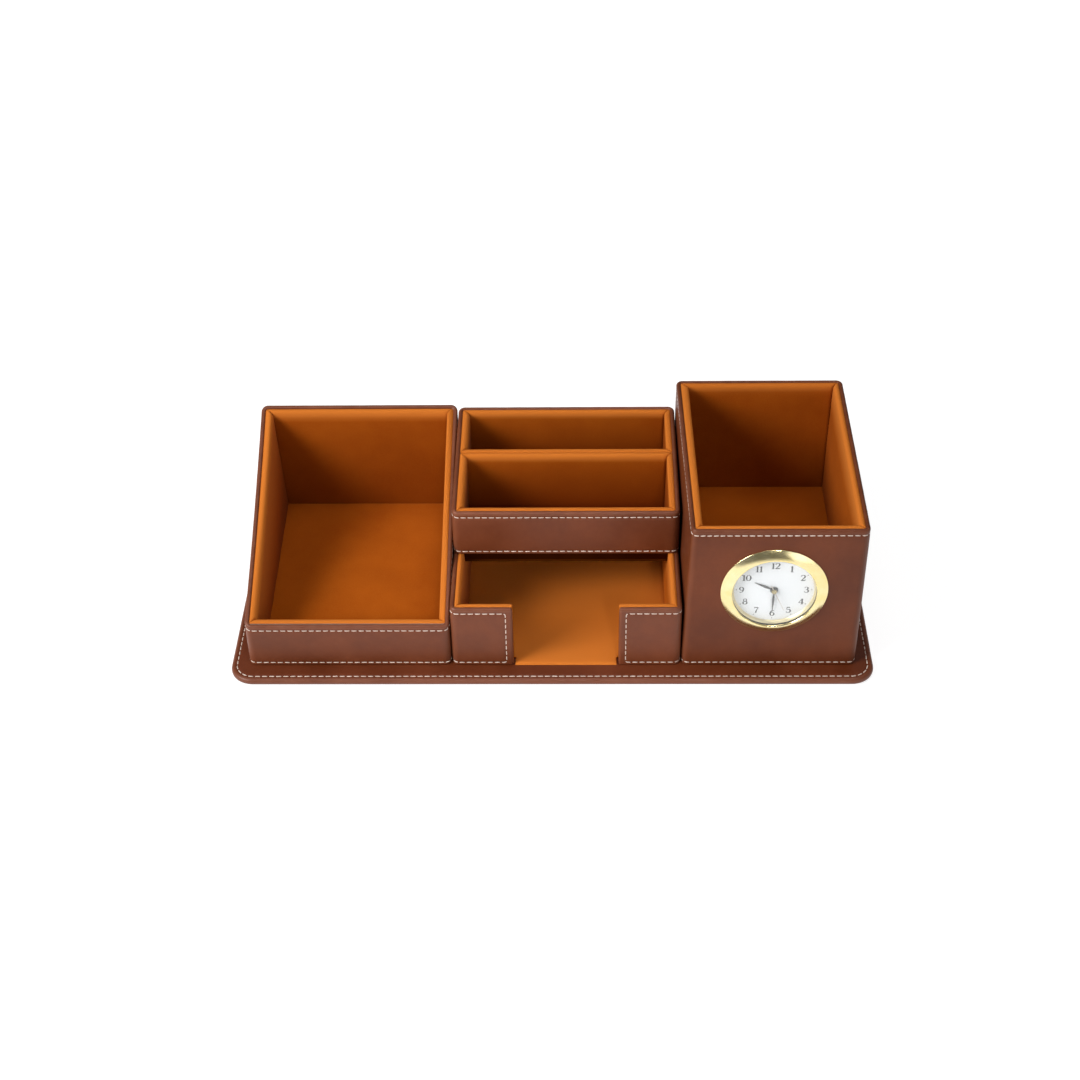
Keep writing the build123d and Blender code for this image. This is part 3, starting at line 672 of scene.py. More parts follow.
def tray_cover():
    """The memo tray's cover, which stops at the two ends of its front notch."""
    corners = [
        (NOTCH_RIGHT + ROLL, TRAY.front), (TRAY.right, TRAY.front), (TRAY.right, TRAY.back),
        (TRAY.left, TRAY.back), (TRAY.left, TRAY.front), (NOTCH_LEFT - ROLL, TRAY.front),
    ]
    track = Track(corners, [0, BOX_RADIUS, BOX_RADIUS, BOX_RADIUS, BOX_RADIUS, 0])
    fine = [END_STEP * i for i in range(20)]
    start, end = fine[-1] + END_STEP, track.length - fine[-1] - END_STEP
    places = fine + [start + s for s in spread(end - start, COVER_STEP)]
    places += [track.length - s for s in reversed(fine)]
    inner = SEAM_END - ROLL
    high = TRAY.front_rim - TRAY.bottom - TOP_SEAM
    middle, far = track.length / 2, track.length - inner
    radius = 1.2

    def seam(s, drop, rise):
        across, upright = max(inner - s, s - far), max(TOP_SEAM - drop, BOTTOM_SEAM - rise)
        inside = max(across, upright) < 0
        return abs(max(across, upright)) if inside else math.hypot(max(across, 0), max(upright, 0))

    stitches = round(track.length / STITCH_PITCH)
    cover = leather_cover(
        "tray_leather", TRAY, track, places, seam,
        lambda s: needle_phase(s, track.length, stitches), False,
    )
    low = BOTTOM_SEAM
    corners = [(middle, high), (inner, high), (inner, low), (far, low), (far, high), (middle, high)]
    loop = Track(corners, [0, radius, radius, radius, radius, 0])
    points, normals = [], []
    for place in spread(loop.length, 0.3)[:-1]:
        flat, _ = loop.at(place)
        point, normal = track.at(flat.x)
        point = point - STITCH_DEPTH * normal
        points.append(Vector((point.x, point.y, TRAY.bottom + flat.y)))
        normals.append(Vector((normal.x, normal.y, 0)))
    sew("tray_leather_stitch", points, normals)
    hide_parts("memo_tray_cover")


tray_cover()


# --- base
def base_cover():
    """The base's leather: turned under, round the edge and over the top, with a seam all round."""
    track = around(BASE, BASE_RADIUS)
    places = spread(track.length, COVER_STEP)[:-1]
    seam_at = 2.9
    rows = [(10.4, 0.6), (4.0, 0.6), (1.4, 0.62)]
    low, high = 1.2, 1.7
    quarter = math.pi / 2
    rows += [(low - low * math.sin(a), 0.62 + low - low * math.cos(a)) for a in (0.0, 0.5, 1.0, quarter)]
    for a in (0.0, 0.3, 0.6, 0.9, 1.2, quarter):
        rows.append((high - high * math.cos(a), BASE_TOP - high + high * math.sin(a)))
    rows += [(d, BASE_TOP) for d in (1.7, 2.1, 2.4, 2.65, 2.9, 3.15, 3.4, 3.7, 4.2, 5.0, 6.0, 7.4, 8.9)]
    rows += [(10.0, BASE_TOP), (11.0, BASE_TOP)]
    stitches = round((track.length - 2 * math.pi * seam_at) / STITCH_PITCH)
    verts, wear_and_painted_light = [], []
    for s in places:
        point, normal = track.at(s)
        phase = needle_phase(s, track.length, stitches)
        for d, z in rows:
            p = Vector((point.x - normal.x * d, point.y - normal.y * d, z))
            # The top near the edge and the rounded edge are painted paler: partly rubbed, partly painted
            # highlight.
            pale = 0.0
            if z >= BASE_TOP - 0.01:
                p.z -= seam_dip(abs(d - seam_at), phase)
                p.z += (0.05 * soft_noise(p, 14.0, 5.0) - 0.03) * min(1.0, d / 3.0)
                pale = 0.25 * math.exp(-((d - 1.4) / 0.8) ** 2)
            elif z > 1.2:
                pale = 0.30 + 0.10 * soft_noise(p, 6.0, 2.0)
                p -= Vector((normal.x, normal.y, 0)) * 0.04 * (1 + soft_noise(p, 9.0, 8.0))
            verts.append(p)
            wear_and_painted_light.append(held(pale + 0.04 * soft_noise(p, 3.0, 6.0), 0.0, MOST_WEAR_AND_HIGHLIGHT))
    count = len(rows)
    faces = skin(len(places), count, ring=True)
    faces.append(tuple(i * count + count - 1 for i in range(len(places))))
    faces.append(tuple(i * count for i in reversed(range(len(places)))))
    made = recalculate(piece("base_leather", verts, faces, LEATHER_BASE, wear_and_painted_light=wear_and_painted_light, sharp=50))
    finish_as(made, "base_cover")
    points, normals = [], []
    for s in spread(track.length, SEAM_STEP)[:-1]:
        point, normal = track.at(s)
        points.append(Vector((point.x - normal.x * seam_at, point.y - normal.y * seam_at, BASE_TOP - 0.22)))
        normals.append(Vector((0, 0, 1)))
    sew("base_leather_stitch", points, normals)


base_cover()


# --- suede
SUEDE_TUCK = 0.55
GROOVE = 2.0
PANEL_ROWS = 14
CREST_STEPS = 12
MITRE_STEPS = (0.2, 0.5, 0.9, 1.5, 2.3)  # places of the columns near a panel's ends

# Each side's soft top: rise, flatness, how far down the painted highlight reaches, its strength, sink
# below the rim and extra thickness.
FORMS = {
    "front": (1.6, 2.3, 1.5, 0.95, 0.15, 0.0), "right": (1.3, 2.6, 6.0, 0.90, 0.1, 0.0),
    "back": (2.7, 2.0, 4.0, 0.90, 0.0, 0.0), "left": (2.9, 2.0, 40.0, 1.05, 0.0, 1.0),
}
CARD_FORMS = {
    "front": (1.6, 2.3, 1.5, 0.80, 0.15, 0.0), "right": (1.3, 2.6, 3.0, 0.90, 0.1, 0.0),
    "back": (2.2, 2.1, 2.5, 0.85, 0.0, 0.0), "left": (2.4, 2.1, 12.0, 0.95, 0.0, 0.8),
}
PEN_FORMS = {
    "front": (1.6, 2.3, 1.5, 1.20, 0.30, 0.0), "right": (2.6, 2.2, 12.0, 1.15, 0.0, 0.0),
    "back": (2.4, 2.0, 2.5, 0.70, 0.0, 0.0), "left": (1.7, 2.4, 1.5, 1.25, 0.0, 1.0),
}


def crest(k, form):
    """A point on a panel's soft top: (distance in from the wall, drop below the rim)."""
    rise, flatness, _, _, sink, extra = form
    angle = math.pi - math.pi * k / CREST_STEPS
    across = math.copysign(abs(math.cos(angle)) ** (2 / flatness), math.cos(angle))
    fall = GROOVE if across < 0 else rise
    inward = -SUEDE_TUCK + (SUEDE + extra + SUEDE_TUCK) * (0.5 + 0.5 * across)
    return inward, sink + (fall - (sink if across < 0 else 0.0)) * (1 - math.sin(angle) ** (2 / flatness))


def suede_panel(cloth, wall, rim, floor, foot, form, lean, bow, deep, seed, cuts=()):
    """Adds one padded wall panel, mitred at both ends, with a soft top and face and a plain back, a painted
    highlight along its top and painted shade low down.
    """
    verts, faces, fleck_and_painted_light, kinds = cloth
    start, along, inward, length = wall
    rise, _, pale, strength, sink, extra = form
    places = set(spread(length, 1.6)) | set(MITRE_STEPS) | {length - e for e in MITRE_STEPS} | set(cuts)
    columns = [place / length for place in sorted(places)]
    base = len(verts)
    for a in columns:
        near = min(a, 1 - a) * length
        crease = max(0.0, 1 - near / 1.6) ** 2
        point = start + along * (a * length)
        top = rim(point.y)
        column = [(Vector((point.x, point.y, top - 5.0)), 0.0)]
        for k in range(CREST_STEPS + 1):
            t, drop = crest(k, form)
            mitre = held(t, 0.0, SUEDE)
            point = start + along * (mitre + a * (length - 2 * mitre)) + inward * t
            swell = math.sin(math.pi * k / CREST_STEPS)
            rough = (0.10 * soft_noise(point, 9.0, seed + 5) - 0.25 * crease) * swell
            place = Vector((point.x, point.y, top - drop + rough)) - inward * (0.30 * crease * mitre / SUEDE)
            # Painted highlight along the top, weaker in the creases at the ends and on the outer edge.
            column.append((place, strength * (1.0 - 0.35 * crease) * (1.0 if k > 3 else 0.25 * k)))
        for k in range(1, PANEL_ROWS + 1):
            v = (k / PANEL_ROWS) ** 1.35
            depth = (lean[0] + (lean[1] - lean[0]) * a) * v ** 1.3 + extra * (1 - v)
            depth += bow * math.sin(math.pi * min(v * 1.05, 1)) * math.sin(math.pi * a) ** 0.5
            point = start + along * (SUEDE + a * (length - 2 * SUEDE)) + inward * (SUEDE + depth)
            high = top - sink - rise
            z = high - (high - floor) * v
            move = 0.10 * soft_noise((point.x, point.y, z), 13.0, seed) - 0.40 * crease
            # Down the face the painted highlight fades, and painted shade deepens towards the floor.
            fade = max(0.0, 1 - (high - z) / pale) ** 1.2
            shade = 0.9 * strength * fade - min(deep * (1 - fade) * v ** 0.8, 1.0)
            column.append((Vector((point.x, point.y, z)) + inward * move, shade))
        for t, z in ((SUEDE, foot), (0.0, foot), (0.0, max(top - 6.0, foot + 0.5))):
            point = start + along * (t + a * (length - 2 * t)) + inward * t
            column.append((Vector((point.x, point.y, z)), 0.0))
        rows = len(column)
        for point, shade in column:
            verts.append(point)
            fleck_and_painted_light.append(shade)
    faces += skin(len(columns), rows, base, tube=True, back=True) + caps(len(columns), rows, base)
    hidden = [int(j >= rows - 3 or j == 0) for j in range(rows)]
    kinds += hidden * (len(columns) - 1) + [0, 0]


def suede_piece(name, node_name, cloth):
    """A finished suede piece that stands for one solid."""
    verts, faces, fleck_and_painted_light, kinds = cloth
    made = piece(name, verts, faces, SUEDE_TAN, wear_and_painted_light=fleck_and_painted_light)
    # The backs and feet take the dark backing: painted shade where they show.
    made.data.materials.append(SHADE_BACKING)
    made.data.polygons.foreach_set("material_index", kinds)
    finish_as(recalculate(made), node_name)
    return made


def walls(cavity):
    """The inner walls of a box: where each starts, which way it runs, the way in, and its length."""
    left, right, front, back = cavity.left, cavity.right, cavity.front, cavity.back
    return {
        side: (Vector((*start, 0)), Vector((*along, 0)), Vector((*inward, 0)), length)
        for side, start, along, inward, length in (
            ("front", (left, front), (1, 0), (0, 1), right - left),
            ("right", (right, front), (0, 1), (-1, 0), back - front),
            ("back", (right, back), (-1, 0), (0, -1), right - left),
            ("left", (left, back), (0, -1), (1, 0), back - front),
        )
    }


def lining(name, node_name, cavity, floor, forms, deep, leans=None, bows=None):
    """Four padded suede panels round the inside of a box or a slot, with painted shade deepening towards the
    floor.
    """
    leans, bows = leans or {}, bows or {}
    foot = reach(node_name)[0].z
    cloth = ([], [], [], [])
    for index, (side, wall) in enumerate(walls(cavity).items()):
        suede_panel(
            cloth, wall, cavity.rim, floor, foot, forms[side],
            leans.get(side, (0.4, 0.4)), bows.get(side, 0.3), deep, 11.3 * index + len(name),
        )
    return suede_piece(name, node_name, cloth)


def evenly(low, high, edge, count):
    """Places across a pad: close together along both edges, and even between."""
    rim = edge[-1]
    between = [low + rim + (high - low - 2 * rim) * k / count for k in range(1, count)]
    return [low + e for e in edge] + between + [high - e for e in reversed(edge)]


def plain_suede(name, node_name, verts, faces, fleck_and_painted_light):
    """A suede piece of one material."""
    return suede_piece(name, node_name, (verts, faces, fleck_and_painted_light, [0] * len(faces)))


def floor_pad(name, node_name, low, high, crown, full):
    """A suede-covered pad between two corners, with a rounded edge, crowned a little in the middle."""
    left, right, front, back = low.x, high.x, low.y, high.y
    top = high.z + full
    edge = (0.0, 0.15, 0.45, 0.9, 1.6)
    xs, ys = evenly(left, right, edge, 26), evenly(front, back, edge, 28)
    verts = []
    for x in xs:
        for y in ys:
            gap = min(x - left, right - x, y - front, back - y)
            droop = 0.3 * max(0.0, 1 - gap / 0.8) ** 2
            u, v = (x - left) / (right - left), (y - front) / (back - front)
            swell = crown * (16 * u * (1 - u) * v * (1 - v)) ** 0.5
            z = top - droop + swell + 0.07 * soft_noise((x, y, 0), 15.0, low.z)
            verts.append(Vector((x, y, max(z, low.z + 0.1))))
    rows = len(ys)
    faces = skin(len(xs), rows)
    rim = [i * rows for i in range(len(xs))]
    rim += [(len(xs) - 1) * rows + j for j in range(1, rows)]
    rim += [i * rows + rows - 1 for i in reversed(range(len(xs) - 1))]
    rim += [j for j in reversed(range(1, rows - 1))]
    under = len(verts)
    verts += [Vector((verts[k].x, verts[k].y, low.z)) for k in rim]
    for k in range(len(rim)):
        after = (k + 1) % len(rim)
        faces.append((rim[k], rim[after], under + after, under + k))
    faces.append(tuple(under + k for k in range(len(rim))))
    return plain_suede(name, node_name, verts, faces, [0.0] * len(verts))


def pad_in(name, node_name, crown, full=0.0):
    """The floor pad in the place of its solid, or a little fuller."""
    low, high = reach(node_name)
    return floor_pad(name, node_name, low, high, crown, full)


# The number after each box's forms sets how dark its painted shade grows towards the floor.
lining(
    "note_suede", "note_box_lining", NOTE.inset(WRAP), NOTE_FLOOR, FORMS, 0.6,
    leans={"left": (1.0, 3.2), "back": (-0.3, -0.3), "right": (0.0, 0.0)},
    bows={"left": 0.6, "back": 0.1, "right": 0.1},
)
pad_in("note_suede_floor", "note_box_floor_pad", 0.15, 1.0)
for side in ("front", "rear"):
    low, high = reach(f"card_box_{side}_lining")
    slot = Box(low.x, high.x, low.y, high.y, low.z, CARD.rim(low.y), CARD.rim(high.y))
    name, node_name = f"card_suede_{side}", f"card_box_{side}_lining"
    lining(name, node_name, slot, CARD_FLOOR, CARD_FORMS, 1.05, bows={"back": 0.2})
    pad_in(f"card_suede_floor_{side}", f"card_box_{side}_floor_pad", 0.1)
pen_lining = lining(
    "pen_suede", "pen_box_lining", PEN.inset(WRAP), PEN_FLOOR, PEN_FORMS, 0.45,
    leans={"back": (-0.3, -0.3)}, bows={"right": 1.2, "left": 0.5, "front": 0.2, "back": 0.1},
)
pad_in("pen_suede_floor", "pen_box_floor_pad", 0.15, 0.8)

TRAY_FORMS = {
    "right": (2.2, 2.2, 14.0, 1.10, 0.0, 0.0), "back": (1.7, 2.4, 1.5, 0.0, 0.0, 0.0),
    "left": (2.6, 2.0, 18.0, 1.15, 0.0, 0.0),
}
SHORT_FORM = (1.6, 2.3, 1.5, 1.0, 0.25, 0.0)


def tray_lining():
    """The memo tray's panels: three whole walls, low under the card box's shelf, and two short
    ones that stop at the notch."""
    cavity = TRAY.inset(WRAP)
    cloth = ([], [], [], [])
    step = CARD.front + WRAP - 0.2
    near, far = step - cavity.front, cavity.back - step
    cuts = {"right": (near - 0.5, near), "left": (far, far + 0.5)}
    sides = walls(cavity)
    for index, (side, form) in enumerate(TRAY_FORMS.items()):
        suede_panel(
            cloth, sides[side], lambda y: SHELF_BOTTOM - 0.1 if y > step - 0.25 else cavity.rim(y),
            MEMO_FLOOR, TRAY.bottom, form, (0.8, 0.8), 0.3, 0.0, 3.0 * index, cuts.get(side, ()),
        )
    for left, right, notch_at in ((cavity.left, NOTCH_LEFT, 1), (NOTCH_RIGHT, cavity.right, 0)):
        short_panel(cloth, left, right, cavity.front, cavity.front_rim, notch_at)
    return suede_piece("tray_suede", "memo_tray_lining", cloth)


def short_panel(cloth, left, right, front, rim, notch_at):
    """One short front panel: mitred at the tray's corner and square, softly rounded, at the notch, with a
    painted highlight along its top and at the notch end.
    """
    verts, faces, fleck_and_painted_light, kinds = cloth
    length = right - left
    base = len(verts)
    edge = (0.12, 0.35, 0.7, 1.1, 1.7)
    places = sorted(set(spread(length, 1.2)) | set(edge) | {length - e for e in edge})
    for place in places:
        a = place / length
        shape = [(0.0, MEMO_FLOOR - 0.9, 0.0), (0.0, rim - 5.0, 0.0)]
        for k in range(CREST_STEPS + 1):
            t, drop = crest(k, SHORT_FORM)
            shape.append((t, rim - drop, 1.0 if k > 3 else 0.25 * k))
        for k in range(1, 13):
            high = rim - SHORT_FORM[0] - SHORT_FORM[4]
            z = high - (high - MEMO_FLOOR) * k / 12
            shape.append((SUEDE, z, 0.55 * max(0.0, 1 - (high - z) / 3.2) ** 2))
        shape += [(SUEDE, MEMO_FLOOR - 0.9, 0.0)]
        rows = len(shape)
        gap = length - place if notch_at == 1 else place
        pinch = max(0.0, 1 - gap / 0.9) ** 2
        corner = place if notch_at == 1 else length - place
        crease = max(0.0, 1 - corner / 1.6) ** 2
        for t, z, pale in shape:
            squeezed = SUEDE / 2 + (t - SUEDE / 2) * (1 - 0.30 * pinch)
            inset = max(t, 0.0)
            x = left + inset + a * (length - inset) if notch_at == 1 else left + a * (length - inset)
            y = front + squeezed - 0.4 * crease * (inset / SUEDE)
            if t > 0:
                z = z - 0.55 * pinch * (z > rim - 3) + 0.08 * soft_noise((x, y, z), 9.0, 2.0) - 0.2 * crease
            verts.append(Vector((x, y, z)))
            # Painted highlight: the top, the upper face and the end at the notch are painted paler.
            fleck_and_painted_light.append(max(pale, 0.6 * max(0.0, 1 - gap / 1.2)))
    made = skin(len(places), rows, base, tube=True, back=True) + caps(len(places), rows, base)
    faces += made
    kinds += [0] * len(made)


tray_lining()


TONGUE_PLAY, SHEET_THICKNESS = 0.8, 1.0


def memo_floor():
    """The tray's suede sheet, with a tongue that runs out through the notch to a rolled lip."""
    inner = WRAP + SUEDE
    left, right = TRAY.left + inner, TRAY.right - inner
    front, back = TRAY.front + inner, TRAY.back - inner
    tongue_left, tongue_right = NOTCH_LEFT + TONGUE_PLAY, NOTCH_RIGHT - TONGUE_PLAY
    lip = TRAY.front
    verts, faces = [], []
    across = sorted(
        {left + (right - left) * k / 34 for k in range(35)}
        | {tongue_left, tongue_right, tongue_left + 0.5, tongue_right - 0.5, left + 0.5, right - 0.5}
    )
    depth = [front + (back - front) * k / 30 for k in range(31)]
    tongue = [lip, lip + 0.08, lip + 0.3, lip + 0.7, lip + 1.3, lip + 2.6, lip + 3.9]
    ys = tongue + depth
    index = {}

    def vertex(i, j, under=False):
        x, y = across[i], ys[j]
        key = (i, j, under)
        if key not in index:
            low = MEMO_FLOOR - SHEET_THICKNESS + 0.02
            gap = min(x - left, right - x, back - y)
            if j < len(tongue):
                gap = min(x - tongue_left, tongue_right - x)
            droop = 0.5 * max(0.0, 1 - gap / 0.8) ** 2
            if not under and y < lip + 1.3:
                droop += 0.85 * (1 - (y - lip) / 1.3) ** 2
            top = MEMO_FLOOR - droop + 0.05 * soft_noise((x, y, 0), 16.0, 9.0)
            z = low if under else max(top, low + 0.05)
            index[key] = len(verts)
            verts.append(Vector((x, y, z)))
        return index[key]

    def present(i, j):
        if not (0 <= i < len(across) - 1 and 0 <= j < len(ys) - 1):
            return False
        if j < len(tongue):
            middle = (across[i] + across[i + 1]) / 2
            return tongue_left < middle < tongue_right
        return True

    for i in range(len(across) - 1):
        for j in range(len(ys) - 1):
            if not present(i, j):
                continue
            quad = [(i, j), (i + 1, j), (i + 1, j + 1), (i, j + 1)]
            faces.append(tuple(vertex(*c) for c in quad))
            faces.append(tuple(vertex(*c, under=True) for c in reversed(quad)))
            for (da, db), (a, b) in (
                ((0, -1), (quad[0], quad[1])), ((1, 0), (quad[1], quad[2])),
                ((0, 1), (quad[2], quad[3])), ((-1, 0), (quad[3], quad[0])),
            ):
                if not present(i + da, j + db):
                    faces.append((vertex(*b), vertex(*a), vertex(*a, under=True), vertex(*b, under=True)))
    # Painted light: the whole sheet is painted paler, most at the lip by the notch.
    fleck_and_painted_light = [0.60 + 0.35 * held(1 - (v.y - lip) / 30.0) for v in verts]
    return plain_suede("tray_suede_floor", "memo_tray_floor_sheet", verts, faces, fleck_and_painted_light)


memo_floor()


# --- clock
def lathe(name, section, material, node_name, body="clock_insert", segments=192, sharp=38, closed=True):
    """Turns a section of (radius, depth) points about the clock's axis, to stand for a solid."""
    verts = []
    for k in range(segments):
        angle = 2 * math.pi * k / segments
        for radius, depth in section:
            x, z = CLOCK.x + radius * math.cos(angle), CLOCK.z + radius * math.sin(angle)
            verts.append(Vector((x, CLOCK.y + depth, z)))
    faces = skin(segments, len(section), ring=True, tube=closed)
    made = piece(name, verts, faces, material, body=body, sharp=sharp)
    return finish_as(recalculate(made), node_name)


# The bezel's crown: a thin edge, a shallow cone that rises inwards to its crest, a bright lip
# down to the lens, and the skirt behind.
BEZEL_RADIUS, FLANK_RADIUS, CREST_RADIUS, OPENING = 25.0, 24.9, 20.35, 19.5
EDGE, CREST = -0.5, bezel_low.y - PEN.front
bezel_section = [
    (24.95, 0.0), (BEZEL_RADIUS, -0.06), (BEZEL_RADIUS, EDGE + 0.12), (24.97, EDGE),
    (FLANK_RADIUS, EDGE - 0.06),
]
for k in range(1, 13):
    t = k / 12
    bezel_section.append((
        FLANK_RADIUS + (CREST_RADIUS - FLANK_RADIUS) * t,
        (EDGE - 0.06) + (CREST - EDGE + 0.06) * t - 0.22 * math.sin(math.pi * t),
    ))
bezel_section += [(20.1, CREST + 0.04), (19.86, CREST + 0.14), (19.68, CREST + 0.32), (OPENING, CREST + 0.62)]
bezel_section += [(OPENING, LENS_FRONT), (20.7, LENS_FRONT), (20.7, 1.0), (21.5, 1.0), (21.5, 0.0)]
lathe("bezel_gold", bezel_section, BEZEL_GOLD, "clock_bezel")

ring_front = reach("dial_ring")[0].y - PEN.front
ring_section = [
    (20.6, ring_front), (19.495, ring_front), (19.495, LENS_BACK + 0.04), (19.40, LENS_BACK + 0.08),
    (19.3, ring_front + 0.3), (18.9, DIAL_DEPTH - 0.25), (18.7, DIAL_DEPTH - 0.08), (18.72, DIAL_DEPTH),
    (20.6, DIAL_DEPTH),
]
lathe("dial_ring_gold", ring_section, GOLD_SATIN, "dial_ring")

CAP_RADIUS = 1.25
cap_front, cap_back = (p.y - PEN.front for p in reach("hand_cap"))
cap_section = [(0.0, cap_front - 0.10)]
for a in (0.3, 0.6, 0.9, 1.2, 1.45):
    cap_section.append((CAP_RADIUS * math.sin(a), cap_front + 0.08 - 0.18 * math.cos(a)))
cap_section += [(CAP_RADIUS, cap_back - 0.05), (CAP_RADIUS, cap_back), (0.0, cap_back)]
lathe(
    "hand_cap_dome", cap_section, CAP_GOLD, "hand_cap", "second_hand_train", segments=48,
    sharp=45, closed=False,
)


HUB_SEGMENTS = 40
THICK = 0.2


def hand(name, node_name, outline, angle, front, hub, bore_radius, material, thickness=THICK):
    """A flat hand from half widths along its length, with a round hub bored for its pipe."""
    angle, body = math.radians(angle), f"{node_name}_train"
    ahead, side = (math.sin(angle), math.cos(angle)), (math.cos(angle), -math.sin(angle))
    verts = []

    def add(u, v, depth, arch=0.0):
        x, z = ahead[0] * u + side[0] * v, ahead[1] * u + side[1] * v
        verts.append(Vector((CLOCK.x + x, CLOCK.y + depth - arch, CLOCK.z + z)))

    for u, w in outline:
        add(u, -w, front + 0.02)
        add(u, 0, front + 0.02, min(0.10, 0.12 * w))
        add(u, w, front + 0.02)
        add(u, w, front + thickness)
        add(u, -w, front + thickness)
    faces = skin(len(outline), 5, tube=True) + caps(len(outline), 5)
    start = len(verts)
    for k in range(HUB_SEGMENTS):
        t = 2 * math.pi * k / HUB_SEGMENTS
        for radius, depth in (
            (bore_radius, front - 0.01), (hub, front - 0.01), (hub, front + thickness + 0.01),
            (bore_radius, front + thickness + 0.01),
        ):
            add(radius * math.cos(t), radius * math.sin(t), depth)
    faces += skin(HUB_SEGMENTS, 4, start, ring=True, tube=True)
    return finish_as(recalculate(piece(name, verts, faces, material, body=body, sharp=25)), node_name)


def lance(start, widest, length, narrow, wide, tip):
    """Half widths of a lance: narrow at its hub, widest a third out, then a long taper."""
    line = []
    for k in range(9):
        t = k / 8
        line.append((start + (widest - start) * t, narrow + (wide - narrow) * (3 * t * t - 2 * t ** 3)))
    for k in range(1, 11):
        t = k / 10
        line.append((widest + (length - widest) * t, wide + (tip - wide) * t ** 0.9))
    return line


hand("hour_hand_lance", "hour_hand", lance(1.6, 4.6, 10.4, 0.34, 0.64, 0.10), 296.5,
     HOUR_FRONT, 1.9, 1.2, LACQUER)
hand("minute_hand_lance", "minute_hand", lance(1.3, 5.4, 13.2, 0.30, 0.56, 0.08), 181.0,
     MINUTE_FRONT, 1.6, 0.9, LACQUER)
hand("second_hand_needle", "second_hand",
     [(-3.6, 0.22), (-1.2, 0.18), (0.6, 0.15), (4.0, 0.13), (12.4, 0.09)], 156.0,
     SECOND_FRONT, 1.0, 0.4, SILVER)


def catmull(points, per=6):
    """A smooth line through points of (x, y, half width)."""
    held_ends = [points[0]] + list(points) + [points[-1]]
    out = []
    for i in range(1, len(held_ends) - 2):
        p0, p1, p2, p3 = held_ends[i - 1:i + 3]
        for k in range(per):
            t = k / per
            out.append(tuple(
                0.5 * (
                    2 * b + (c - a) * t + (2 * a - 5 * b + 4 * c - d) * t * t
                    + (3 * b - a - 3 * c + d) * t ** 3
                )
                for a, b, c, d in zip(p0, p1, p2, p3)
            ))
    out.append(points[-1])
    return out


def oval(cx, cy, rx, ry, thick, thin, count=28):
    """A closed oval stroke, thick at its sides and thin at top and bottom."""
    out = []
    for k in range(count + 1):
        a = 2 * math.pi * k / count
        width = thin + (thick - thin) * abs(math.cos(a)) ** 1.5
        out.append((cx + rx * math.cos(a), cy + ry * math.sin(a), width))
    return out


SIX = [
    (0.53, 0.86, 0.05), (0.41, 0.97, 0.025), (0.22, 0.86, 0.05), (0.10, 0.52, 0.085), (0.13, 0.18, 0.07),
    (0.31, 0.025, 0.025), (0.50, 0.14, 0.06), (0.55, 0.33, 0.08), (0.46, 0.53, 0.045), (0.31, 0.60, 0.022),
    (0.15, 0.48, 0.03),
]
DIGITS = {
    "0": [oval(0.33, 0.5, 0.26, 0.47, 0.09, 0.024)],
    "1": [
        [(0.23, 0.0, 0.085), (0.23, 0.99, 0.085)], [(0.04, 0.02, 0.022), (0.42, 0.02, 0.022)],
        [(0.05, 0.86, 0.024), (0.20, 0.97, 0.03)],
    ],
    "2": [
        catmull([
            (0.08, 0.76, 0.065), (0.13, 0.92, 0.03), (0.31, 0.975, 0.025), (0.50, 0.87, 0.065),
            (0.52, 0.69, 0.085), (0.40, 0.44, 0.06), (0.20, 0.20, 0.03), (0.06, 0.06, 0.025),
        ]),
        [(0.05, 0.06, 0.06), (0.56, 0.06, 0.06)], [(0.57, 0.04, 0.02), (0.60, 0.24, 0.02)],
    ],
    "3": [
        catmull([
            (0.08, 0.79, 0.055), (0.16, 0.94, 0.03), (0.30, 0.975, 0.025), (0.48, 0.86, 0.065),
            (0.47, 0.66, 0.07), (0.34, 0.535, 0.03), (0.22, 0.52, 0.02),
        ]),
        catmull([
            (0.30, 0.53, 0.022), (0.49, 0.44, 0.06), (0.55, 0.25, 0.088), (0.45, 0.07, 0.05),
            (0.27, 0.025, 0.025), (0.11, 0.08, 0.035), (0.07, 0.22, 0.06),
        ]),
    ],
    "4": [
        [(0.45, 0.98, 0.03), (0.03, 0.30, 0.026)], [(0.02, 0.28, 0.03), (0.64, 0.28, 0.03)],
        [(0.45, 0.99, 0.08), (0.45, 0.0, 0.08)], [(0.29, 0.02, 0.022), (0.62, 0.02, 0.022)],
    ],
    "5": [
        [(0.13, 0.94, 0.055), (0.52, 0.94, 0.055)], [(0.14, 0.97, 0.022), (0.10, 0.54, 0.022)],
        catmull([
            (0.10, 0.55, 0.022), (0.27, 0.61, 0.03), (0.49, 0.52, 0.06), (0.56, 0.30, 0.088),
            (0.46, 0.08, 0.05), (0.27, 0.025, 0.025), (0.11, 0.09, 0.04), (0.07, 0.21, 0.06),
        ]),
    ],
    "6": [catmull(SIX)],
    "7": [
        [(0.06, 0.76, 0.022), (0.08, 0.97, 0.022)], [(0.07, 0.93, 0.055), (0.57, 0.93, 0.055)],
        catmull([(0.57, 0.93, 0.03), (0.43, 0.62, 0.045), (0.31, 0.32, 0.065), (0.28, 0.0, 0.085)]),
    ],
    "8": [oval(0.32, 0.745, 0.19, 0.225, 0.06, 0.026), oval(0.32, 0.27, 0.24, 0.25, 0.08, 0.026)],
    "9": [catmull([(0.64 - x, 1 - y, w) for x, y, w in SIX])],
}
ADVANCE = {digit: 0.66 for digit in DIGITS}
ADVANCE["1"] = 0.46


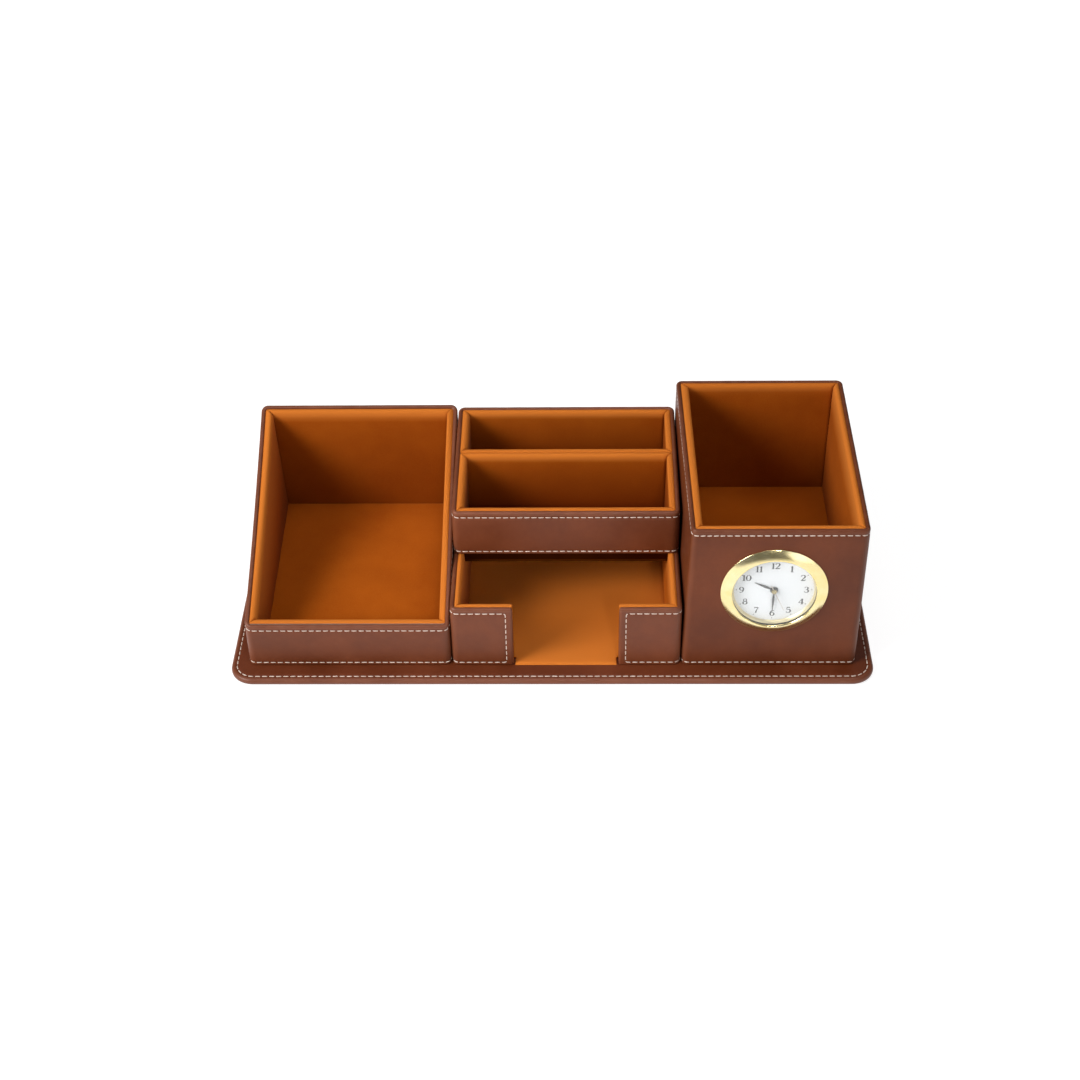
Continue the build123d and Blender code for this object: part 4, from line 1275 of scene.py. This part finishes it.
def ribbon(verts, faces, stroke, place, front, back):
    """A stroke as a thin printed plate; place maps (x, y) to (x, z) across the dial."""
    base = len(verts)
    count = len(stroke)
    for i, (x, y, w) in enumerate(stroke):
        a, b = stroke[max(i - 1, 0)], stroke[min(i + 1, count - 1)]
        dx, dy = b[0] - a[0], b[1] - a[1]
        size = math.hypot(dx, dy) or 1.0
        nx, ny = -dy / size * w, dx / size * w
        for sx, sy in ((x + nx, y + ny), (x - nx, y - ny)):
            px, pz = place(sx, sy)
            verts.append(Vector((px, front, pz)))
            verts.append(Vector((px, back, pz)))
    for i in range(count - 1):
        a, b = base + 4 * i, base + 4 * (i + 1)
        faces += [(a, b, b + 2, a + 2), (a + 1, a + 3, b + 3, b + 1)]
        faces += [(a, a + 1, b + 1, b), (a + 2, b + 2, b + 3, a + 3)]
    last = base + 4 * (count - 1)
    faces += [(base, base + 2, base + 3, base + 1), (last, last + 1, last + 3, last + 2)]


DIAL_FRONT = CLOCK.y + DIAL_DEPTH
NUMERAL_HEIGHT, NUMERAL_STRETCH, NUMERAL_BOLD = 3.5, 1.08, 0.013
NUMERAL_ACROSS, NUMERAL_UP = 15.1, 14.4
DOT_AT, DOT_RADIUS, DOT_SEGMENTS = 17.55, 0.27, 12
TICK_START, TICK_END, TICK_HALF_WIDTH = 17.95, 18.45, 0.05


def drum(verts, faces, x, z, radius, front, back, segments):
    """Adds a round plate or plug, with its axis along the clock's."""
    base = len(verts)
    for k in range(segments):
        angle = 2 * math.pi * k / segments
        for depth in (front, back):
            verts.append(Vector((x + radius * math.cos(angle), depth, z + radius * math.sin(angle))))
    for k in range(segments):
        n = (k + 1) % segments
        faces.append((base + 2 * k, base + 2 * k + 1, base + 2 * n + 1, base + 2 * n))
    faces.append(tuple(base + 2 * k for k in range(segments)))
    faces.append(tuple(base + 2 * k + 1 for k in reversed(range(segments))))


def dial_print():
    """Twelve upright numerals, a dot at each hour and a fine track of minutes."""
    verts, faces = [], []
    front, back = DIAL_FRONT - 0.03, DIAL_FRONT + 0.01
    for hour in range(1, 13):
        text = str(hour)
        scale = NUMERAL_HEIGHT
        width = sum(ADVANCE[c] for c in text) * scale * NUMERAL_STRETCH
        angle = math.radians(30 * hour)
        left = CLOCK.x + NUMERAL_ACROSS * math.sin(angle) - width / 2
        low = CLOCK.z + NUMERAL_UP * math.cos(angle) - scale / 2
        for c in text:
            for stroke in DIGITS[c]:
                ribbon(
                    verts, faces, [(x, y, w + NUMERAL_BOLD) for x, y, w in stroke],
                    lambda x, y, left=left, low=low: (left + x * scale * NUMERAL_STRETCH, low + y * scale),
                    front, back,
                )
            left += ADVANCE[c] * scale * NUMERAL_STRETCH
        cx, cz = CLOCK.x + DOT_AT * math.sin(angle), CLOCK.z + DOT_AT * math.cos(angle)
        drum(verts, faces, cx, cz, DOT_RADIUS, front, back, DOT_SEGMENTS)
    made = recalculate(piece("dial_numerals", verts, faces, INK, body="clock_insert", sharp=30))
    finish_as(made)
    verts, faces = [], []
    for minute in range(60):
        if minute % 5 == 0:
            continue
        angle = math.radians(6 * minute)
        sx, cz = math.sin(angle), math.cos(angle)
        stroke = [(at * sx, at * cz, TICK_HALF_WIDTH) for at in (TICK_START, TICK_END)]
        ribbon(verts, faces, stroke, lambda x, y: (CLOCK.x + x, CLOCK.z + y), front, back)
    track = recalculate(piece("dial_minute_track", verts, faces, INK_PALE, body="clock_insert", sharp=30))
    finish_as(track)


dial_print()


# --- bore through the pen box's front
BORE_FRONT, BORE_BACK = -4.0, 9.5


def bore(obj):
    """Cuts the clock's round hole through a piece for good."""
    verts, faces = [], []
    drum(verts, faces, CLOCK.x, CLOCK.z, CLOCK_BORE, CLOCK.y + BORE_FRONT, CLOCK.y + BORE_BACK, 96)
    mesh = bpy.data.meshes.new("bore_tool")
    mesh.from_pydata([v * MM for v in verts], [], faces)
    tool = add_object("bore_tool", mesh)
    recalculate(tool)
    cut = obj.modifiers.new("bore", "BOOLEAN")
    cut.operation = "DIFFERENCE"
    cut.solver = "EXACT"
    cut.use_self = True
    cut.object = tool
    bpy.context.view_layer.update()
    graph = bpy.context.evaluated_depsgraph_get()
    made = bpy.data.meshes.new_from_object(obj.evaluated_get(graph))
    obj.modifiers.remove(cut)
    obj.data = made
    bpy.data.objects.remove(tool)


bore(pen_cover)
bore(pen_lining)


# --- the solids that show as they are
def dress(name, material, bevel):
    """Gives a solid its material, and softens its hard edges by a bevel if it has any to show."""
    obj = nodes[name]
    obj.data.materials.clear()
    obj.data.materials.append(material)
    if bevel > 0:
        weld = obj.modifiers.new("weld", "WELD")
        weld.merge_threshold = 1e-6
        soft = obj.modifiers.new("bevel", "BEVEL")
        soft.width = bevel * MM
        soft.segments = 2
        soft.limit_method = "ANGLE"
        soft.angle_limit = math.radians(35)
        soft.harden_normals = False


def bent_boards(name, node_name):
    """A board box that follows its leaning cover."""
    mesh = nodes[node_name].data
    verts = [v.co / MM for v in mesh.vertices]
    made = piece(name, verts, [tuple(p.vertices) for p in mesh.polygons], BOARD, sharp=30)
    finish_as(made, node_name)


bent_boards("note_boards", "note_box_boards")
bent_boards("pen_boards", "pen_box_boards")
# The card box's shelf takes the dark backing: painted shade under the card box.
for material, bevels in (
    (BOARD, {"base_board": 0, "memo_tray_boards": 0, "card_box_boards": 0, "card_box_divider": 0}),
    (BOARD, {"pen_box_riser": 0}), (SHADE_BACKING, {"card_box_shelf": 0}), (CARD_FILL, {"base_filler_card": 0}),
    (FELT, {"base_underlay": 0.15}), (GLASS, {"clock_lens": 0}), (DIAL, {"clock_dial": 0}),
    (RUBBER, {"lens_gasket": 0, "retaining_band": 0.15}), (GREY, {"movement_module": 0.1}),
    (BLACK, {"clock_case": 0.2, "clock_back": 0.12, "battery_cover": 0.12, "setting_knob": 0.1}),
    (STEEL, {"setting_stem": 0, "battery": 0.15, "back_screws": 0.08, "second_arbor": 0}),
    (BRASS, {"negative_contact": 0, "positive_contact": 0, "cannon_pinion": 0, "hour_wheel": 0}),
    (BRASS, {"minute_wheel": 0}),
):
    for name, bevel in bevels.items():
        dress(name, material, bevel)


# --- studio
# In metres, like the lights: half the floor's width, how far it lies under the base, and the point
# that the three soft lights face.
FLOOR_REACH, FLOOR_GAP = 40, 0.0001
LIGHT_TARGET = (0, 0, 0.04)


def aim_light(light, place, target):
    """Puts a light in its place and turns it to a point."""
    light.location = place
    light.rotation_euler = (Vector(target) - light.location).to_track_quat("-Z", "Y").to_euler()


def studio():
    """A plain pale floor, soft light from the left and above, and an even pale surround."""
    floor_mesh = bpy.data.meshes.new("floor")
    corners = ((-1, -1), (1, -1), (1, 1), (-1, 1))
    floor_mesh.from_pydata([(FLOOR_REACH * x, FLOOR_REACH * y, 0) for x, y in corners], [], [(0, 1, 2, 3)])
    floor = add_object("floor", floor_mesh)
    material, _, shader = new_material("floor_pale")
    set_inputs(
        shader, Base_Color=(0.36, 0.36, 0.36, 1), Emission_Color=(1.0, 1.0, 1.0, 1), Emission_Strength=0.84,
        Roughness=0.9, Specular_IOR_Level=0.1,
    )
    floor_mesh.materials.append(material)
    floor.location.z = -FLOOR_GAP
    floor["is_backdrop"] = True
    world = bpy.data.worlds.new("surround")
    world.use_nodes = True
    set_inputs(world.node_tree.nodes["Background"], Color=(0.93, 0.96, 1.0, 1), Strength=0.14)
    bpy.context.scene.world = world
    for name, place, size, power, colour in (
        ("key", (-1.25, -0.78, 0.98), (0.75, 0.75), 35.0, (1.0, 0.985, 0.965)),
        ("top", (0.15, -0.05, 1.70), (1.3, 1.0), 10.0, (1.0, 0.99, 0.98)),
        ("fill", (1.05, -1.30, 0.42), (1.0, 0.7), 3.5, (1.0, 1.0, 1.0)),
    ):
        data = bpy.data.lights.new(name, "AREA")
        data.shape = "RECTANGLE"
        data.size, data.size_y = size
        data.energy = power
        data.color = colour
        aim_light(add_object(name, data), place, LIGHT_TARGET)
    data = bpy.data.lights.new("front_lamp", "SPOT")
    data.energy, data.spot_size, data.spot_blend, data.shadow_soft_size = 38.0, math.radians(8.5), 1.0, 0.11
    tray_middle = ((TRAY.left + TRAY.right) / 2 * MM - 0.004, CARD.front * MM - 0.006, 0.012)
    aim_light(add_object("front_lamp", data), (0.14, -0.85, 0.64), tray_middle)


studio()


# --- camera
CAMERA_TURNS = (39.265, -1.559, -1.109)  # pitch, yaw and roll in degrees
CAMERA_PLACE = Vector((13.503, -713.614, 616.486))
FOCAL_PIXELS, PHOTO_PIXELS, SENSOR = 1852.342, 1080, 36.0


def camera():
    """The camera, where the solve of the photo puts it."""
    pitch, yaw, roll = (math.radians(angle) for angle in CAMERA_TURNS)
    forward = Vector((math.sin(yaw) * math.cos(pitch), math.cos(yaw) * math.cos(pitch), -math.sin(pitch)))
    right = Vector((math.cos(yaw), -math.sin(yaw), 0))
    up = right.cross(forward)
    right, up = math.cos(roll) * right + math.sin(roll) * up, -math.sin(roll) * right + math.cos(roll) * up
    data = bpy.data.cameras.new("camera")
    data.sensor_width = SENSOR
    data.lens = FOCAL_PIXELS / PHOTO_PIXELS * SENSOR
    data.clip_start, data.clip_end = 0.01, 50.0
    made = add_object("camera", data)
    turn = Matrix((right, up, -forward)).transposed().to_4x4()
    made.matrix_world = Matrix.Translation(CAMERA_PLACE * MM) @ turn
    bpy.context.scene.camera = made


camera()
bpy.context.scene.view_settings.view_transform = "Standard"

low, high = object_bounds()
